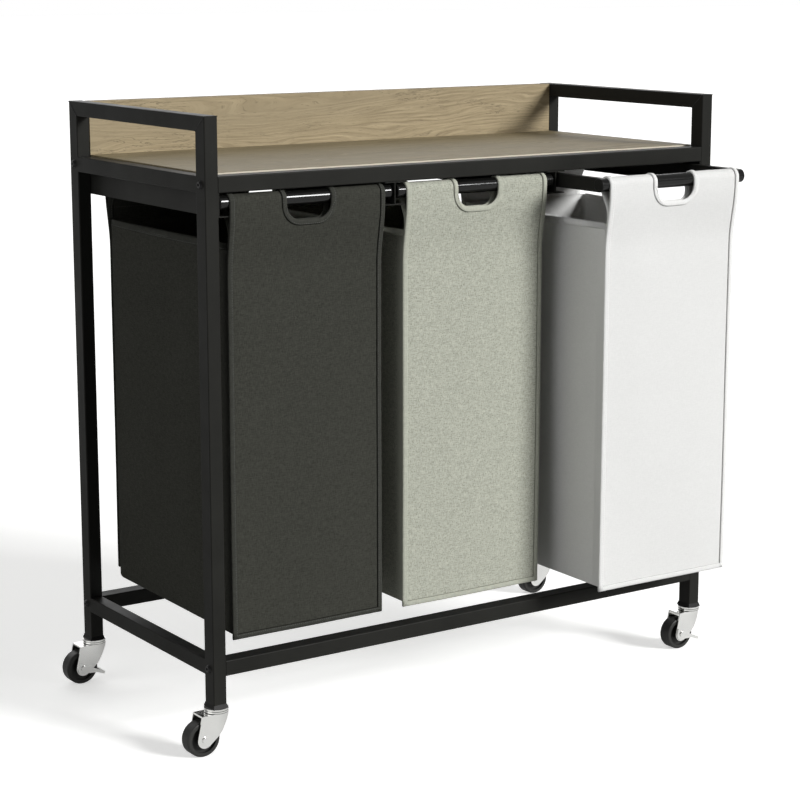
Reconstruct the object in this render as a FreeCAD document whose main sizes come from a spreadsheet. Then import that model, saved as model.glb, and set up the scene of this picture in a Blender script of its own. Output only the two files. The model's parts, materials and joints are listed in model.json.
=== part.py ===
"""Laundry sorter on wheels: welded side frames, rails, a shelf, three bags on slide-out frames, four casters.

Millimetres, +Z up, +X to the sorter's right, +Y to its back. The floor is Z = 0.
The origin is on the floor under the middle of the whole object as it stands, with the
right-hand bag pulled part of the way out and the casters trailing to the left.
"""
import FreeCAD, Part
import os
from math import cos, radians, sin
import Sketcher
from FreeCAD import Placement, Rotation, Vector

doc = FreeCAD.newDocument("laundry_sorter")
sheet = doc.addObject("Spreadsheet::Sheet", "Sizes")


class Size:
    """A number together with the expression that gives it from the sheet."""

    def __init__(self, value, text):
        self.value = float(value)
        self.text = text

    @staticmethod
    def of(other):
        return other if isinstance(other, Size) else Size(other, "%.6g" % other)

    def join(self, other, sign, value):
        return Size(value, "(%s %s %s)" % (self.text, sign, other.text))

    def __add__(self, other):
        other = Size.of(other)
        return self.join(other, "+", self.value + other.value)

    def __radd__(self, other):
        return Size.of(other) + self

    def __sub__(self, other):
        other = Size.of(other)
        return self.join(other, "-", self.value - other.value)

    def __rsub__(self, other):
        return Size.of(other) - self

    def __mul__(self, other):
        other = Size.of(other)
        return self.join(other, "*", self.value * other.value)

    def __rmul__(self, other):
        return Size.of(other) * self

    def __truediv__(self, other):
        other = Size.of(other)
        return self.join(other, "/", self.value / other.value)

    def __neg__(self):
        return Size(0, "0") - self


row_number = [0]


def size(alias, value, note):
    """One driving dimension: a row of the sheet with a name, a number and a remark."""
    row_number[0] += 1
    row = row_number[0]
    sheet.set("A%d" % row, alias)
    sheet.set("B%d" % row, "%.6g" % value)
    sheet.set("C%d" % row, note)
    sheet.setAlias("B%d" % row, alias)
    return Size(value, "Sizes.%s" % alias)


# ---------------------------------------------------------------- driving dimensions
width = size("width", 880, "over the two side frames")
depth = size("depth", 400, "front post face to back post face")
height = size("height", 872, "floor to the top of the side frames")

post_across = size("post_across", 20, "post and side rail size across the sorter")
post_deep = size("post_deep", 25, "post size front to back")
head_high = size("head_high", 21, "height of a side frame's top rail")
rail_high = size("rail_high", 22, "height of the shelf-level and bottom rails")
shelf_drop = size("shelf_drop", 79, "top of a side frame to the top of the shelf-level rails")
base_rise = size("base_rise", 61, "cut end of a post to the top of the bottom rails")
wall = size("wall", 1.5, "tube wall")
tube_round = size("tube_round", 1.6, "outside rounding of the tubes")

board = size("board", 15, "thickness of the shelf and the backboard")
board_gap = size("board_gap", 0.5, "air round the boards")
shelf_proud = size("shelf_proud", 2, "shelf top above the rails")
tab_long = size("tab_long", 30, "shelf tab, along its rail")
tab_reach = size("tab_reach", 18, "shelf tab, under the shelf")
tab_thick = size("tab_thick", 2, "shelf tab plate")
tab_screw = size("tab_screw", 1.8, "shelf screw shank radius")
tab_screw_head = size("tab_screw_head", 3.6, "shelf screw head radius")

bolt = size("bolt", 3, "frame bolt shank radius")
bolt_head = size("bolt_head", 5.8, "frame bolt head radius")
bolt_head_high = size("bolt_head_high", 3.4, "frame bolt head height")
bolt_long = size("bolt_long", 36, "frame bolt, under the head")
bolt_socket = size("bolt_socket", 2, "half the key size of the bolt")
bolt_play = size("bolt_play", 0.3, "air round the bolt in the post")
insert_long = size("insert_long", 26, "threaded insert in a rail's end")
thread_gap = size("thread_gap", 0.05, "bolt shank to insert")

sheet_metal = size("sheet_metal", 1.5, "guide rail sheet")
guide_ledge = size("guide_ledge", 16, "ledge each side of a middle guide")
side_ledge = size("side_ledge", 15, "ledge of an end guide")
guide_inset = size("guide_inset", 1, "guide ends behind the post faces")
guide_screw = size("guide_screw", 1.6, "guide screw shank radius")
guide_screw_head = size("guide_screw_head", 2.8, "guide screw head radius")
guide_screw_high = size("guide_screw_high", 1.2, "guide screw head height")
guide_screw_bite = size("guide_screw_bite", 1, "guide screw, past the tube wall")
guide_screw_up = size("guide_screw_up", 3.2, "end guide screw above its ledge")

bay_air = size("bay_air", 13.5, "between one slide-out frame and the next")
side_air = size("side_air", 4.5, "slide-out frame to a side frame")
side_bar_thick = size("side_bar_thick", 10, "side bar, across")
bar_round = size("bar_round", 10, "radius of the round front and rear bars")
bar_lift = size("bar_lift", 7, "guide ledge to the underside of the bars")
bar_air = size("bar_air", 4, "top of the bars to the shelf-level rails")
bar_wall = size("bar_wall", 1.2, "wall of the bars")
bar_front = size("bar_front", 10, "post face to the front bar's axis, pushed in")
bar_back = size("bar_back", 39, "rear bar's axis, pushed in, to the rear post face")
cap_thick = size("cap_thick", 2, "end cap of a round bar")
cap_round = size("cap_round", 1.5, "rounding of an end cap")
pulled_out = size("pulled_out", 100, "how far the right bag stands out")
slide_gap = size("slide_gap", 0.3, "air between sliding faces")
glide_wide = size("glide_wide", 8, "glide, across")
front_glide_at = size("front_glide_at", 30, "post face to a front glide")
front_glide_long = size("front_glide_long", 30, "front glide length")
rear_glide_long = size("rear_glide_long", 25, "rear glide length")
rear_glide_back = size("rear_glide_back", 12, "rear glide, ahead of the rear bar's axis")

bag_inset = size("bag_inset", 12.25, "slide-out frame's outer face to the bag's side")
bag_lift = size("bag_lift", 30, "bottom rails to the bag's underside")
bag_hem = size("bag_hem", 5, "front and back panels hang below the underside")
bag_side_drop = size("bag_side_drop", 56, "bars' axis to the top of the bag's sides")
cloth = size("cloth", 1.6, "bag wall, two layers of cloth")
sleeve_gap = size("sleeve_gap", 0.4, "bar to the cloth sleeve round it")
grip_wide = size("grip_wide", 72, "hand opening in the front panel")
grip_drop = size("grip_drop", 29, "front bar's axis to the bottom of the hand opening")
grip_round = size("grip_round", 22, "rounding of the hand opening")

wheel_round = size("wheel_round", 25, "wheel radius")
wheel_wide = size("wheel_wide", 20, "wheel width")
wheel_crown = size("wheel_crown", 2.2, "rounding of the wheel's shoulders")
wheel_dish = size("wheel_dish", 5, "depth of the dish in a wheel's face")
dish_outer = size("dish_outer", 19, "outer radius of the dish")
dish_inner = size("dish_inner", 7.5, "hub radius inside the dish")
axle = size("axle", 3, "axle radius")
run_gap = size("run_gap", 0.06, "shaft to bore, running")
rivet_head = size("rivet_head", 4.6, "axle head radius")
rivet_high = size("rivet_high", 1.6, "axle head height")
trail = size("trail", 25, "swivel axis to axle")
wheel_head_air = size("wheel_head_air", 7, "wheel to the fork's top plate")
wheel_side_air = size("wheel_side_air", 1.5, "wheel to a fork leg")
fork_sheet = size("fork_sheet", 2, "fork plate")
fork_back = size("fork_back", 29, "fork's top plate, behind the swivel axis")
fork_nose = size("fork_nose", 18.5, "fork's nose, ahead of the swivel axis")
fork_end = size("fork_end", 11.5, "round end of a fork leg")
fork_bend = size("fork_bend", 9.3, "start of the nose's curve, behind the swivel axis")
race_round = size("race_round", 16.8, "swivel race radius")
race_high = size("race_high", 6, "swivel race height")
race_gap = size("race_gap", 0.3, "race to fork")
king_pin = size("king_pin", 5, "swivel pin radius")
king_head = size("king_head", 7, "swivel pin head radius")
king_head_high = size("king_head_high", 1.6, "swivel pin head height")
stem = size("stem", 4, "threaded stem radius")
stem_long = size("stem_long", 18, "stem above the plug's face")
plug_lip = size("plug_lip", 1.8, "plug lip outside the post")
plug_lip_high = size("plug_lip_high", 5.7, "plug lip height")
plug_deep = size("plug_deep", 22, "plug inside the post")
plug_gap = size("plug_gap", 0.1, "plug to post wall")
lever_sheet = size("lever_sheet", 1.4, "brake lever plate")
lever_gap = size("lever_gap", 0.3, "brake lever to fork")
lever_play = size("lever_play", 0.2, "brake lever to the axle's head")
lever_round = size("lever_round", 10.5, "brake lever's round lower edge")
lever_lift = size("lever_lift", 5.5, "lever's straight edge above the axle")
lever_air = size("lever_air", 2.5, "pedal clear of the wheel's tread")
lever_pedal = size("lever_pedal", 8.5, "pedal, along the lever")
lever_angle = size("lever_angle", 25, "slope of the lever, degrees")

# casters: the fork clears its wheel, and the post stands on the race and the plug's lip
fork_level = 2 * wheel_round + wheel_head_air + fork_sheet
fork_half = wheel_wide / 2 + wheel_side_air + fork_sheet
race_low = fork_level + race_gap
race_top = race_low + race_high
plug_low = race_top
post_foot = plug_low + plug_lip_high
lever_reach = wheel_round + lever_air + lever_pedal
base_level = post_foot + base_rise

# shelf rails, and the guides and slide-out frames that hang below them
shelf_level = height - shelf_drop
rail_under = shelf_level - rail_high
guide_drop = bar_air + 2 * bar_round + bar_lift + sheet_metal
guide_low = rail_under - guide_drop
ledge_top = guide_low + sheet_metal
side_bar_low = ledge_top + bar_lift
bar_level = side_bar_low + bar_round
frame_half = (width - 2 * post_across - 2 * side_air - 2 * bay_air) / 6
bay_pitch = 2 * frame_half + bay_air
bar_spacing = depth - bar_front - bar_back

# bags
bag_wide = 2 * frame_half - 2 * bag_inset
bag_base = base_level + bag_lift
bag_side_top = bar_level - bag_side_drop
grip_foot = bar_level - grip_drop

# the object's box, as it stands, has its middle at the origin
off_x = (0 - trail - wheel_round + fork_nose) / 2
sleeve_out = bar_round + sleeve_gap + cloth
axle_out = fork_half + lever_gap + lever_sheet + lever_play + rivet_high
caster_out = axle_out if axle_out.value > race_round.value else race_round
off_y = ((bar_front - sleeve_out - pulled_out) + (caster_out - post_deep / 2)) / 2
mid_x = 0 - off_x
mid_y = 0 - off_y
left = mid_x - width / 2
right = mid_x + width / 2
front = mid_y - depth / 2
back = mid_y + depth / 2
inner_left = left + post_across
inner_right = right - post_across

# screws of the middle guides go up into the shelf rails, those of the end guides into the posts
fix_y = (front + post_deep / 2, back - post_deep / 2)
guide_x = {"left_middle_guide": mid_x - bay_pitch / 2, "right_middle_guide": mid_x + bay_pitch / 2}
rail_screw_x = [x + way * guide_ledge * 0.6 for x in guide_x.values() for way in (-1, 1)]
screw_play = 0.05
doc.recompute()

parts = []


# ---------------------------------------------------------------- making and binding
def bind(thing, prop, value):
    """Set a property from the sheet."""
    value = Size.of(value)
    setattr(thing, prop, value.value) if "." not in prop else None
    thing.setExpression(prop, value.text)


def seat(thing, at):
    """Put an object's own origin at a point of the row frame."""
    for axis, value in zip("xyz", at):
        thing.setExpression("Placement.Base.%s" % axis, Size.of(value).text)
    return thing


def box(name, lower, spans):
    """A block from its lower corner and its three spans."""
    thing = doc.addObject("Part::Box", name)
    for prop, value in zip(("Length", "Width", "Height"), spans):
        bind(thing, prop, value)
    return seat(thing, lower)


TURN = {"X": Rotation(Vector(0, 1, 0), 90), "Y": Rotation(Vector(1, 0, 0), -90), "Z": Rotation()}


def rod(name, start, radius, span, along="Z"):
    """A cylinder from the middle of its first face."""
    thing = doc.addObject("Part::Cylinder", name)
    bind(thing, "Radius", radius)
    bind(thing, "Height", span)
    thing.Placement = Placement(Vector(), TURN[along])
    return seat(thing, start)


def oval_post(name, start, long_radius, short_radius, span):
    """An upright post with an oval plan, longer along X, from the middle of its foot."""
    plan = doc.addObject("Part::Ellipse", name + "_plan")
    bind(plan, "MajorRadius", long_radius)
    bind(plan, "MinorRadius", short_radius)
    seat(plan, start)
    thing = doc.addObject("Part::Extrusion", name)
    thing.Base = plan
    thing.DirMode = "Custom"
    thing.Dir = Vector(0, 0, 1)
    thing.Solid = True
    bind(thing, "LengthFwd", span)
    return thing


def fuse(name, pieces):
    thing = doc.addObject("Part::MultiFuse", name)
    thing.Shapes = pieces
    return thing


def cut(name, base, tool):
    thing = doc.addObject("Part::Cut", name)
    thing.Base = base
    thing.Tool = tool
    return thing


def common(name, first, second):
    thing = doc.addObject("Part::Common", name)
    thing.Base = first
    thing.Tool = second
    return thing


def group(name, pieces):
    thing = doc.addObject("Part::Compound", name)
    thing.Links = pieces
    return thing


def node(label, thing):
    """Name an object as a sub-part of the sorter."""
    thing.Label = label
    parts.append(thing)
    return thing


def base_plane(body, role):
    return [f for f in body.Origin.OriginFeatures if f.Role == role][0]


def outline(body, role, loops, name):
    """A sketch of closed loops; each corner is placed by two dimensions from the origin."""
    sketch = body.newObject("Sketcher::SketchObject", name)
    sketch.AttachmentSupport = [(base_plane(body, role), "")]
    sketch.MapMode = "FlatFace"
    for corners in loops:
        first = sketch.GeometryCount
        points = [Vector(Size.of(u).value, Size.of(v).value, 0) for u, v in corners]
        for here, there in zip(points, points[1:] + points[:1]):
            sketch.addGeometry(Part.LineSegment(here, there), False)
        for step in range(len(corners)):
            after = first + (step + 1) % len(corners)
            sketch.addConstraint(Sketcher.Constraint("Coincident", first + step, 2, after, 1))
        for step, (u, v) in enumerate(corners):
            for kind, value in (("DistanceX", Size.of(u)), ("DistanceY", Size.of(v))):
                index = sketch.addConstraint(
                    Sketcher.Constraint(kind, -1, 1, first + step, 1, value.value))
                sketch.setExpression("Constraints[%d]" % index, value.text)
    return sketch


def pad(body, sketch, length, both_ways, name):
    feature = body.newObject("PartDesign::Pad", name)
    feature.Profile = sketch
    bind(feature, "Length", length)
    feature.SideType = "Symmetric" if both_ways else "One side"
    doc.recompute()
    return feature


def rounded(body, feature, radius, choose, name):
    """Round the edges that the test picks."""
    names = ["Edge%d" % (i + 1) for i, e in enumerate(feature.Shape.Edges) if choose(e)]
    blend = body.newObject("PartDesign::Fillet", name)
    blend.Base = (feature, names)
    bind(blend, "Radius", radius)
    doc.recompute()
    return blend


def new_body(name, at):
    body = doc.addObject("PartDesign::Body", name)
    return seat(body, at)


def is_along(edge, axis):
    if not isinstance(edge.Curve, Part.Line):
        return False
    return abs(abs(edge.Curve.Direction.dot(axis)) - 1) < 1e-6


AXIS_X = Vector(1, 0, 0)


# ---------------------------------------------------------------- side frames
def side_frame(side, x_low):
    """Two posts, a top rail, a shelf-level rail and a bottom rail, welded; hollow inside."""
    body = new_body(side + "_frame_outside", (x_low + post_across / 2, front, 0))
    inside = depth - post_deep
    rim = [(0, post_foot), (0, height), (depth, height), (depth, post_foot),
           (inside, post_foot), (inside, base_level - rail_high),
           (post_deep, base_level - rail_high), (post_deep, post_foot)]
    low_window = [(post_deep, base_level), (inside, base_level),
                  (inside, rail_under), (post_deep, rail_under)]
    high_window = [(post_deep, shelf_level), (inside, shelf_level),
                   (inside, height - head_high), (post_deep, height - head_high)]
    sketch = outline(body, "YZ_Plane", [rim, low_window, high_window], side + "_frame_outline")
    solid = pad(body, sketch, post_across, True, side + "_frame_pad")
    rounded(body, solid, tube_round,
            lambda e: not is_along(e, AXIS_X) and e.BoundBox.ZMax > post_foot.value + 0.01,
            side + "_frame_rounding")

    x_in = x_low + wall
    hollow_x = post_across - 2 * wall
    posts = [box(side + "_post_bore", (x_in, y, post_foot - 1),
                 (hollow_x, post_deep - 2 * wall, height - wall - post_foot + 1))
             for y in (front + wall, back - post_deep + wall)]
    rails = [box(side + "_rail_bore", (x_in, front + wall, top - high + wall),
                 (hollow_x, depth - 2 * wall, high - 2 * wall))
             for top, high in ((height, head_high), (shelf_level, rail_high), (base_level, rail_high))]
    holes = [rod(side + "_bolt_hole", (x_low - 1, y, z), bolt + bolt_play, post_across + 2, "X")
             for y in (front + post_deep / 2, back - post_deep / 2)
             for z in (shelf_level - rail_high / 2, base_level - rail_high / 2)]
    face = x_low + post_across if side == "left" else x_low
    holes += [rod(side + "_guide_hole", (face - wall - 1, y, ledge_top + guide_screw_up),
                  guide_screw + screw_play, 2 * wall + 2, "X") for y in fix_y]
    bores = fuse(side + "_frame_bores", posts + rails + holes)
    return node(side + "_side_frame", cut(side + "_frame_cut", body, bores))


side_frame("left", left)
side_frame("right", inner_right)


# ---------------------------------------------------------------- rails between the side frames
def cross_rail(label, y_low, top, drilled):
    """A rail of the same tube, open at its ends, between the two side frames."""
    long = width - 2 * post_across
    body = new_body(label + "_tube", (mid_x, y_low, top - rail_high))
    outer = [(0, 0), (post_deep, 0), (post_deep, rail_high), (0, rail_high)]
    inner = [(wall, wall), (post_deep - wall, wall),
             (post_deep - wall, rail_high - wall), (wall, rail_high - wall)]
    sketch = outline(body, "YZ_Plane", [outer, inner], label + "_section")
    solid = pad(body, sketch, long, True, label + "_pad")

    def outer_corner(edge):
        middle = edge.BoundBox.Center
        at_side = min(abs(middle.y), abs(middle.y - post_deep.value)) < 0.01
        at_end = min(abs(middle.z), abs(middle.z - rail_high.value)) < 0.01
        return is_along(edge, AXIS_X) and at_side and at_end

    rounded(body, solid, tube_round, outer_corner, label + "_rounding")
    if not drilled:
        return node(label, body)
    holes = [rod(label + "_hole", (x, y_low + post_deep / 2, top - rail_high - 1),
                 guide_screw + screw_play, wall + 2) for x in rail_screw_x]
    return node(label, cut(label + "_cut", body, fuse(label + "_holes", holes)))


cross_rail("front_shelf_rail", front, shelf_level, True)
cross_rail("back_shelf_rail", back - post_deep, shelf_level, True)
cross_rail("front_bottom_rail", front, base_level, False)
cross_rail("back_bottom_rail", back - post_deep, base_level, False)

# each rail end: an insert in the tube, and a button-head bolt through the post
corner_spots = [(y, z) for y in (front + post_deep / 2, back - post_deep / 2)
                for z in (shelf_level - rail_high / 2, base_level - rail_high / 2)]
inserts = []
bolts = []
for y, z in corner_spots:
    half_deep = post_deep / 2 - wall - plug_gap
    half_high = rail_high / 2 - wall - plug_gap
    for x_face, way in ((inner_left, 1), (inner_right, -1)):
        x_low = x_face if way > 0 else x_face - insert_long
        block = box("insert_block", (x_low, y - half_deep, z - half_high),
                    (insert_long, 2 * half_deep, 2 * half_high))
        bore = rod("insert_bore", (x_low - 1, y, z), bolt + thread_gap, insert_long + 2, "X")
        inserts.append(cut("rail_insert", block, bore))
        x_out = x_face - way * post_across
        shank_low = x_out if way > 0 else x_out - bolt_long
        head_low = x_out - bolt_head_high if way > 0 else x_out
        shank = rod("bolt_shank", (shank_low, y, z), bolt, bolt_long, "X")
        head = doc.addObject("Part::Cone", "bolt_head")
        bind(head, "Radius1", bolt_head if way < 0 else bolt_head * 0.72)
        bind(head, "Radius2", bolt_head * 0.72 if way < 0 else bolt_head)
        bind(head, "Height", bolt_head_high)
        head.Placement = Placement(Vector(), TURN["X"])
        seat(head, (head_low, y, z))
        whole = fuse("bolt_whole", [shank, head])
        key = doc.addObject("Part::Prism", "bolt_socket")
        key.Polygon = 6
        bind(key, "Circumradius", bolt_socket * 1.1547)
        bind(key, "Height", bolt_head_high * 0.7 + 1)
        key.Placement = Placement(Vector(), TURN["X"])
        seat(key, (x_out - bolt_head_high - 1 if way > 0 else x_out + bolt_head_high * 0.3, y, z))
        bolts.append(cut("frame_bolt", whole, key))
node("rail_end_inserts", group("rail_inserts_group", inserts))
node("frame_bolts", group("frame_bolts_group", bolts))

# ---------------------------------------------------------------- shelf, tabs and backboard
shelf_top = shelf_level + shelf_proud
shelf_low = shelf_top - board
shelf_body = new_body("shelf_board_body", (mid_x, mid_y, shelf_low))
half_x = width / 2 - post_across - board_gap
half_y = depth / 2 - post_deep - board_gap
rim = [(0 - half_x, 0 - half_y), (half_x, 0 - half_y), (half_x, half_y), (0 - half_x, half_y)]
shelf_sketch = outline(shelf_body, "XY_Plane", [rim], "shelf_outline")
shelf_pad = pad(shelf_body, shelf_sketch, board, False, "shelf_pad")
rounded(shelf_body, shelf_pad, 0.8, lambda e: e.BoundBox.ZMin > board.value - 0.01, "shelf_edge")

tab_spots = []
for share in (-0.36, 0.0, 0.36):
    x = mid_x + width * share
    for y, way in ((front + post_deep, 1), (back - post_deep, -1)):
        tab_spots.append((x, y, way, "front"))
for x, way in ((inner_left, 1), (inner_right, -1)):
    tab_spots.append((x, mid_y, way, "side"))

tabs = []
screws = []
screw_holes = []
for x, y, way, kind in tab_spots:
    low_z = shelf_low - tab_thick
    reach_low = 0 if way > 0 else 0 - tab_reach
    if kind == "front":
        lower = (x - tab_long / 2, y + reach_low, low_z)
        spans = (tab_long, tab_reach, tab_thick)
        spot = (x, y + reach_low + tab_reach * 0.5)
    else:
        lower = (x + reach_low, y - tab_long / 2, low_z)
        spans = (tab_reach, tab_long, tab_thick)
        spot = (x + reach_low + tab_reach * 0.5, y)
    plate = box("tab_plate", lower, spans)
    hole = rod("tab_hole", (spot[0], spot[1], low_z - 1), tab_screw + 0.3, tab_thick + 2)
    tabs.append(cut("shelf_tab", plate, hole))
    head = rod("shelf_screw_head", (spot[0], spot[1], low_z - 1.6), tab_screw_head, 1.6)
    shank = rod("shelf_screw_shank", (spot[0], spot[1], low_z - 0.1), tab_screw, tab_thick + 10)
    screws.append(fuse("shelf_screw", [head, shank]))
    screw_holes.append(rod("shelf_pilot", (spot[0], spot[1], shelf_low - 1), tab_screw + 0.05, 12))
pilots = fuse("shelf_pilots", screw_holes)
node("shelf_board", cut("shelf_board_cut", shelf_body, pilots))
node("shelf_tabs", group("shelf_tabs_group", tabs))
node("shelf_screws", group("shelf_screws_group", screws))

back_body = new_body("back_board_body", (mid_x, back - post_deep, shelf_level))
back_high = height - shelf_level
rim = [(0 - half_x, 0), (half_x, 0), (half_x, back_high), (0 - half_x, back_high)]
back_sketch = outline(back_body, "XZ_Plane", [rim], "back_outline")
back_pad = pad(back_body, back_sketch, board, False, "back_pad")
back_pad.Reversed = True
doc.recompute()
rounded(back_body, back_pad, 0.8, lambda e: e.BoundBox.ZMin > back_high.value - 0.01, "back_edge")
node("back_board", back_body)

# ---------------------------------------------------------------- guide rails under the shelf
guide_y = front + guide_inset
guide_long = depth - 2 * guide_inset
guide_screws = []


def small_screw(at, along, way):
    """A low pan head on a face, with its shank going through the sheet and the tube wall."""
    x, y, z = at
    reach = sheet_metal + wall + guide_screw_bite
    if along == "X":
        head_at = (x if way > 0 else x - guide_screw_high, y, z)
        shank_at = (x - reach if way > 0 else x, y, z)
    else:
        head_at = (x, y, z - guide_screw_high)
        shank_at = (x, y, z)
    head = rod("guide_screw_head", head_at, guide_screw_head, guide_screw_high, along)
    shank = rod("guide_screw_shank", shank_at, guide_screw, reach, along)
    return fuse("guide_screw", [head, shank])


def end_guide(label, x_face, way):
    """An L of sheet metal on the inner face of a side frame's posts."""
    web_low = x_face if way > 0 else x_face - sheet_metal
    ledge_low = x_face if way > 0 else x_face - side_ledge
    web = box(label + "_web", (web_low, guide_y, guide_low), (sheet_metal, guide_long, guide_drop))
    ledge = box(label + "_ledge", (ledge_low, guide_y, guide_low), (side_ledge, guide_long, sheet_metal))
    screw_z = ledge_top + guide_screw_up
    holes = []
    for y in fix_y:
        holes.append(rod(label + "_hole", (web_low - 1, y, screw_z), guide_screw + screw_play,
                         sheet_metal + 2, "X"))
        guide_screws.append(small_screw((x_face + way * sheet_metal, y, screw_z), "X", way))
    sheet_whole = fuse(label + "_fuse", [web, ledge])
    return node(label, cut(label + "_cut", sheet_whole, fuse(label + "_holes", holes)))


def middle_guide(label, x_mid):
    """An upside-down T with a fixing tab at each end, hung from the front and back rails."""
    web = box(label + "_web", (x_mid - sheet_metal / 2, guide_y, guide_low),
              (sheet_metal, guide_long, guide_drop))
    ledge = box(label + "_ledge", (x_mid - guide_ledge, guide_y, guide_low),
                (2 * guide_ledge, guide_long, sheet_metal))
    tab_deep = post_deep - guide_inset
    tab_low = rail_under - sheet_metal
    pieces = [web, ledge]
    for y in (guide_y, back - post_deep):
        pieces.append(box(label + "_tab", (x_mid - guide_ledge, y, tab_low),
                          (2 * guide_ledge, tab_deep, sheet_metal)))
    holes = []
    for y in fix_y:
        for way in (-1, 1):
            x = x_mid + way * guide_ledge * 0.6
            holes.append(rod(label + "_hole", (x, y, tab_low - 1), guide_screw + screw_play,
                             sheet_metal + 2))
            guide_screws.append(small_screw((x, y, tab_low), "Z", -1))
    sheet_whole = fuse(label + "_fuse", pieces)
    return node(label, cut(label + "_cut", sheet_whole, fuse(label + "_holes", holes)))


end_guide("left_end_guide", inner_left, 1)
end_guide("right_end_guide", inner_right, -1)
for label, x_mid in guide_x.items():
    middle_guide(label, x_mid)
node("guide_screws", group("guide_screws_group", guide_screws))

# ---------------------------------------------------------------- slide-out frames and bags
bay_mid = {"left": mid_x - bay_pitch, "middle": mid_x + 0, "right": mid_x + bay_pitch}
bay_out = {"left": Size(0, "0"), "middle": Size(0, "0"), "right": pulled_out}
front_glides = []


def round_bar(label, x_mid, y_axis):
    """A round tube across the slide-out frame, under its end caps."""
    half = frame_half
    outer = rod(label + "_outer", (x_mid - half, y_axis, bar_level), bar_round, 2 * half, "X")
    inner = rod(label + "_inner", (x_mid - half - 1, y_axis, bar_level), bar_round - bar_wall,
                2 * half + 2, "X")
    return node(label, cut(label + "_cut", outer, inner))


def end_cap(x_face, y_axis, way):
    """A plastic disc with a rounded rim on a bar's end."""
    x_low = x_face if way > 0 else x_face - cap_thick
    disc = rod("cap_disc", (x_low, y_axis, bar_level), bar_round, cap_thick, "X")
    doc.recompute()
    far = x_face.value + way * cap_thick.value
    names = [i + 1 for i, e in enumerate(disc.Shape.Edges)
             if isinstance(e.Curve, Part.Circle) and abs(e.Curve.Center.x - far) < 0.01]
    rim = doc.addObject("Part::Fillet", "bar_cap")
    rim.Base = disc
    rim.Edges = [(i, cap_round.value, cap_round.value) for i in names]
    return rim


def side_bar(label, x_low, y_front, y_rear):
    """A flat rectangular tube from the front bar to the rear bar, its ends shaped to them."""
    long = y_rear - y_front
    outer = box(label + "_outer", (x_low, y_front, side_bar_low), (side_bar_thick, long, 2 * bar_round))
    inner = box(label + "_inner", (x_low + bar_wall, y_front - 1, side_bar_low + bar_wall),
                (side_bar_thick - 2 * bar_wall, long + 2, 2 * bar_round - 2 * bar_wall))
    copes = [rod(label + "_cope", (x_low - 1, y, bar_level), bar_round, side_bar_thick + 2, "X")
             for y in (y_front, y_rear)]
    return node(label, cut(label + "_cut", outer, fuse(label + "_away", [inner] + copes)))


def bag(label, x_mid, y_front, y_rear):
    """Cloth walls and bottom, open at the top, with a sleeve round each bar and a hand opening."""
    x_low = x_mid - bag_wide / 2
    face = y_front - cloth / 2
    rear = y_rear + cloth / 2
    long = rear - face
    panel_low = bag_base - bag_hem
    ring = bar_round + sleeve_gap
    pieces = []
    for y, inward in ((face, 1), (rear - cloth, -1)):
        pieces.append(box(label + "_panel", (x_low, y, panel_low),
                          (bag_wide, cloth, bar_level - ring - panel_low)))
    for y in (y_front, y_rear):
        pieces.append(rod(label + "_sleeve", (x_low, y, bar_level), ring + cloth, bag_wide, "X"))
    for x in (x_low, x_low + bag_wide - cloth):
        pieces.append(box(label + "_side", (x, face, bag_base), (cloth, long, bag_side_top - bag_base)))
    pieces.append(box(label + "_bottom", (x_low, face, bag_base), (bag_wide, long, cloth)))
    whole = fuse(label + "_cloth", pieces)
    away = [rod(label + "_bar_room", (x_low - 1, y, bar_level), ring, bag_wide + 2, "X")
            for y in (y_front, y_rear)]
    slot_top = bar_level + ring + cloth + 1
    slot_deep = 2 * (ring + cloth) + 2
    slot_y = y_front - ring - cloth - 1
    high = slot_top - grip_foot
    away.append(box(label + "_grip_upper", (x_mid - grip_wide / 2, slot_y, grip_foot + grip_round),
                    (grip_wide, slot_deep, high - grip_round)))
    away.append(box(label + "_grip_lower", (x_mid - grip_wide / 2 + grip_round, slot_y, grip_foot),
                    (grip_wide - 2 * grip_round, slot_deep, grip_round + 1)))
    for way in (-1, 1):
        x = x_mid + way * (grip_wide / 2 - grip_round)
        away.append(rod(label + "_grip_corner", (x, slot_y, grip_foot + grip_round),
                        grip_round, slot_deep, "Y"))
    return node(label, cut(label + "_cut", whole, fuse(label + "_away", away)))


for side in ("left", "middle", "right"):
    x_mid = bay_mid[side]
    y_front = front + bar_front - bay_out[side]
    y_rear = y_front + bar_spacing
    name = side + "_slide"
    round_bar(name + "_front_bar", x_mid, y_front)
    round_bar(name + "_rear_bar", x_mid, y_rear)
    side_bar(name + "_left_bar", x_mid - frame_half, y_front, y_rear)
    side_bar(name + "_right_bar", x_mid + frame_half - side_bar_thick, y_front, y_rear)
    caps = [end_cap(x_mid + way * frame_half, y, way) for y in (y_front, y_rear) for way in (-1, 1)]
    node(name + "_bar_caps", group(name + "_caps_group", caps))
    rear_glides = []
    for way in (-1, 1):
        x = x_mid + way * (frame_half - side_bar_thick / 2) - glide_wide / 2
        y = y_rear - rear_glide_back - rear_glide_long
        rear_glides.append(box("rear_glide", (x, y, ledge_top + slide_gap),
                               (glide_wide, rear_glide_long, bar_lift - slide_gap)))
        front_glides.append(box("front_glide", (x, front + front_glide_at, ledge_top),
                                (glide_wide, front_glide_long, bar_lift - slide_gap)))
    node(name + "_rear_glides", group(name + "_glides_group", rear_glides))
    bag(side + "_bag", x_mid, y_front, y_rear)
node("front_glides", group("front_glides_group", front_glides))


# ---------------------------------------------------------------- casters
post_spots = {
    "front_left": (left + post_across / 2, front + post_deep / 2),
    "front_right": (right - post_across / 2, front + post_deep / 2),
    "back_left": (left + post_across / 2, back - post_deep / 2),
    "back_right": (right - post_across / 2, back - post_deep / 2)}
braked = ("back_left", "front_right")
plugs = []


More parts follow.
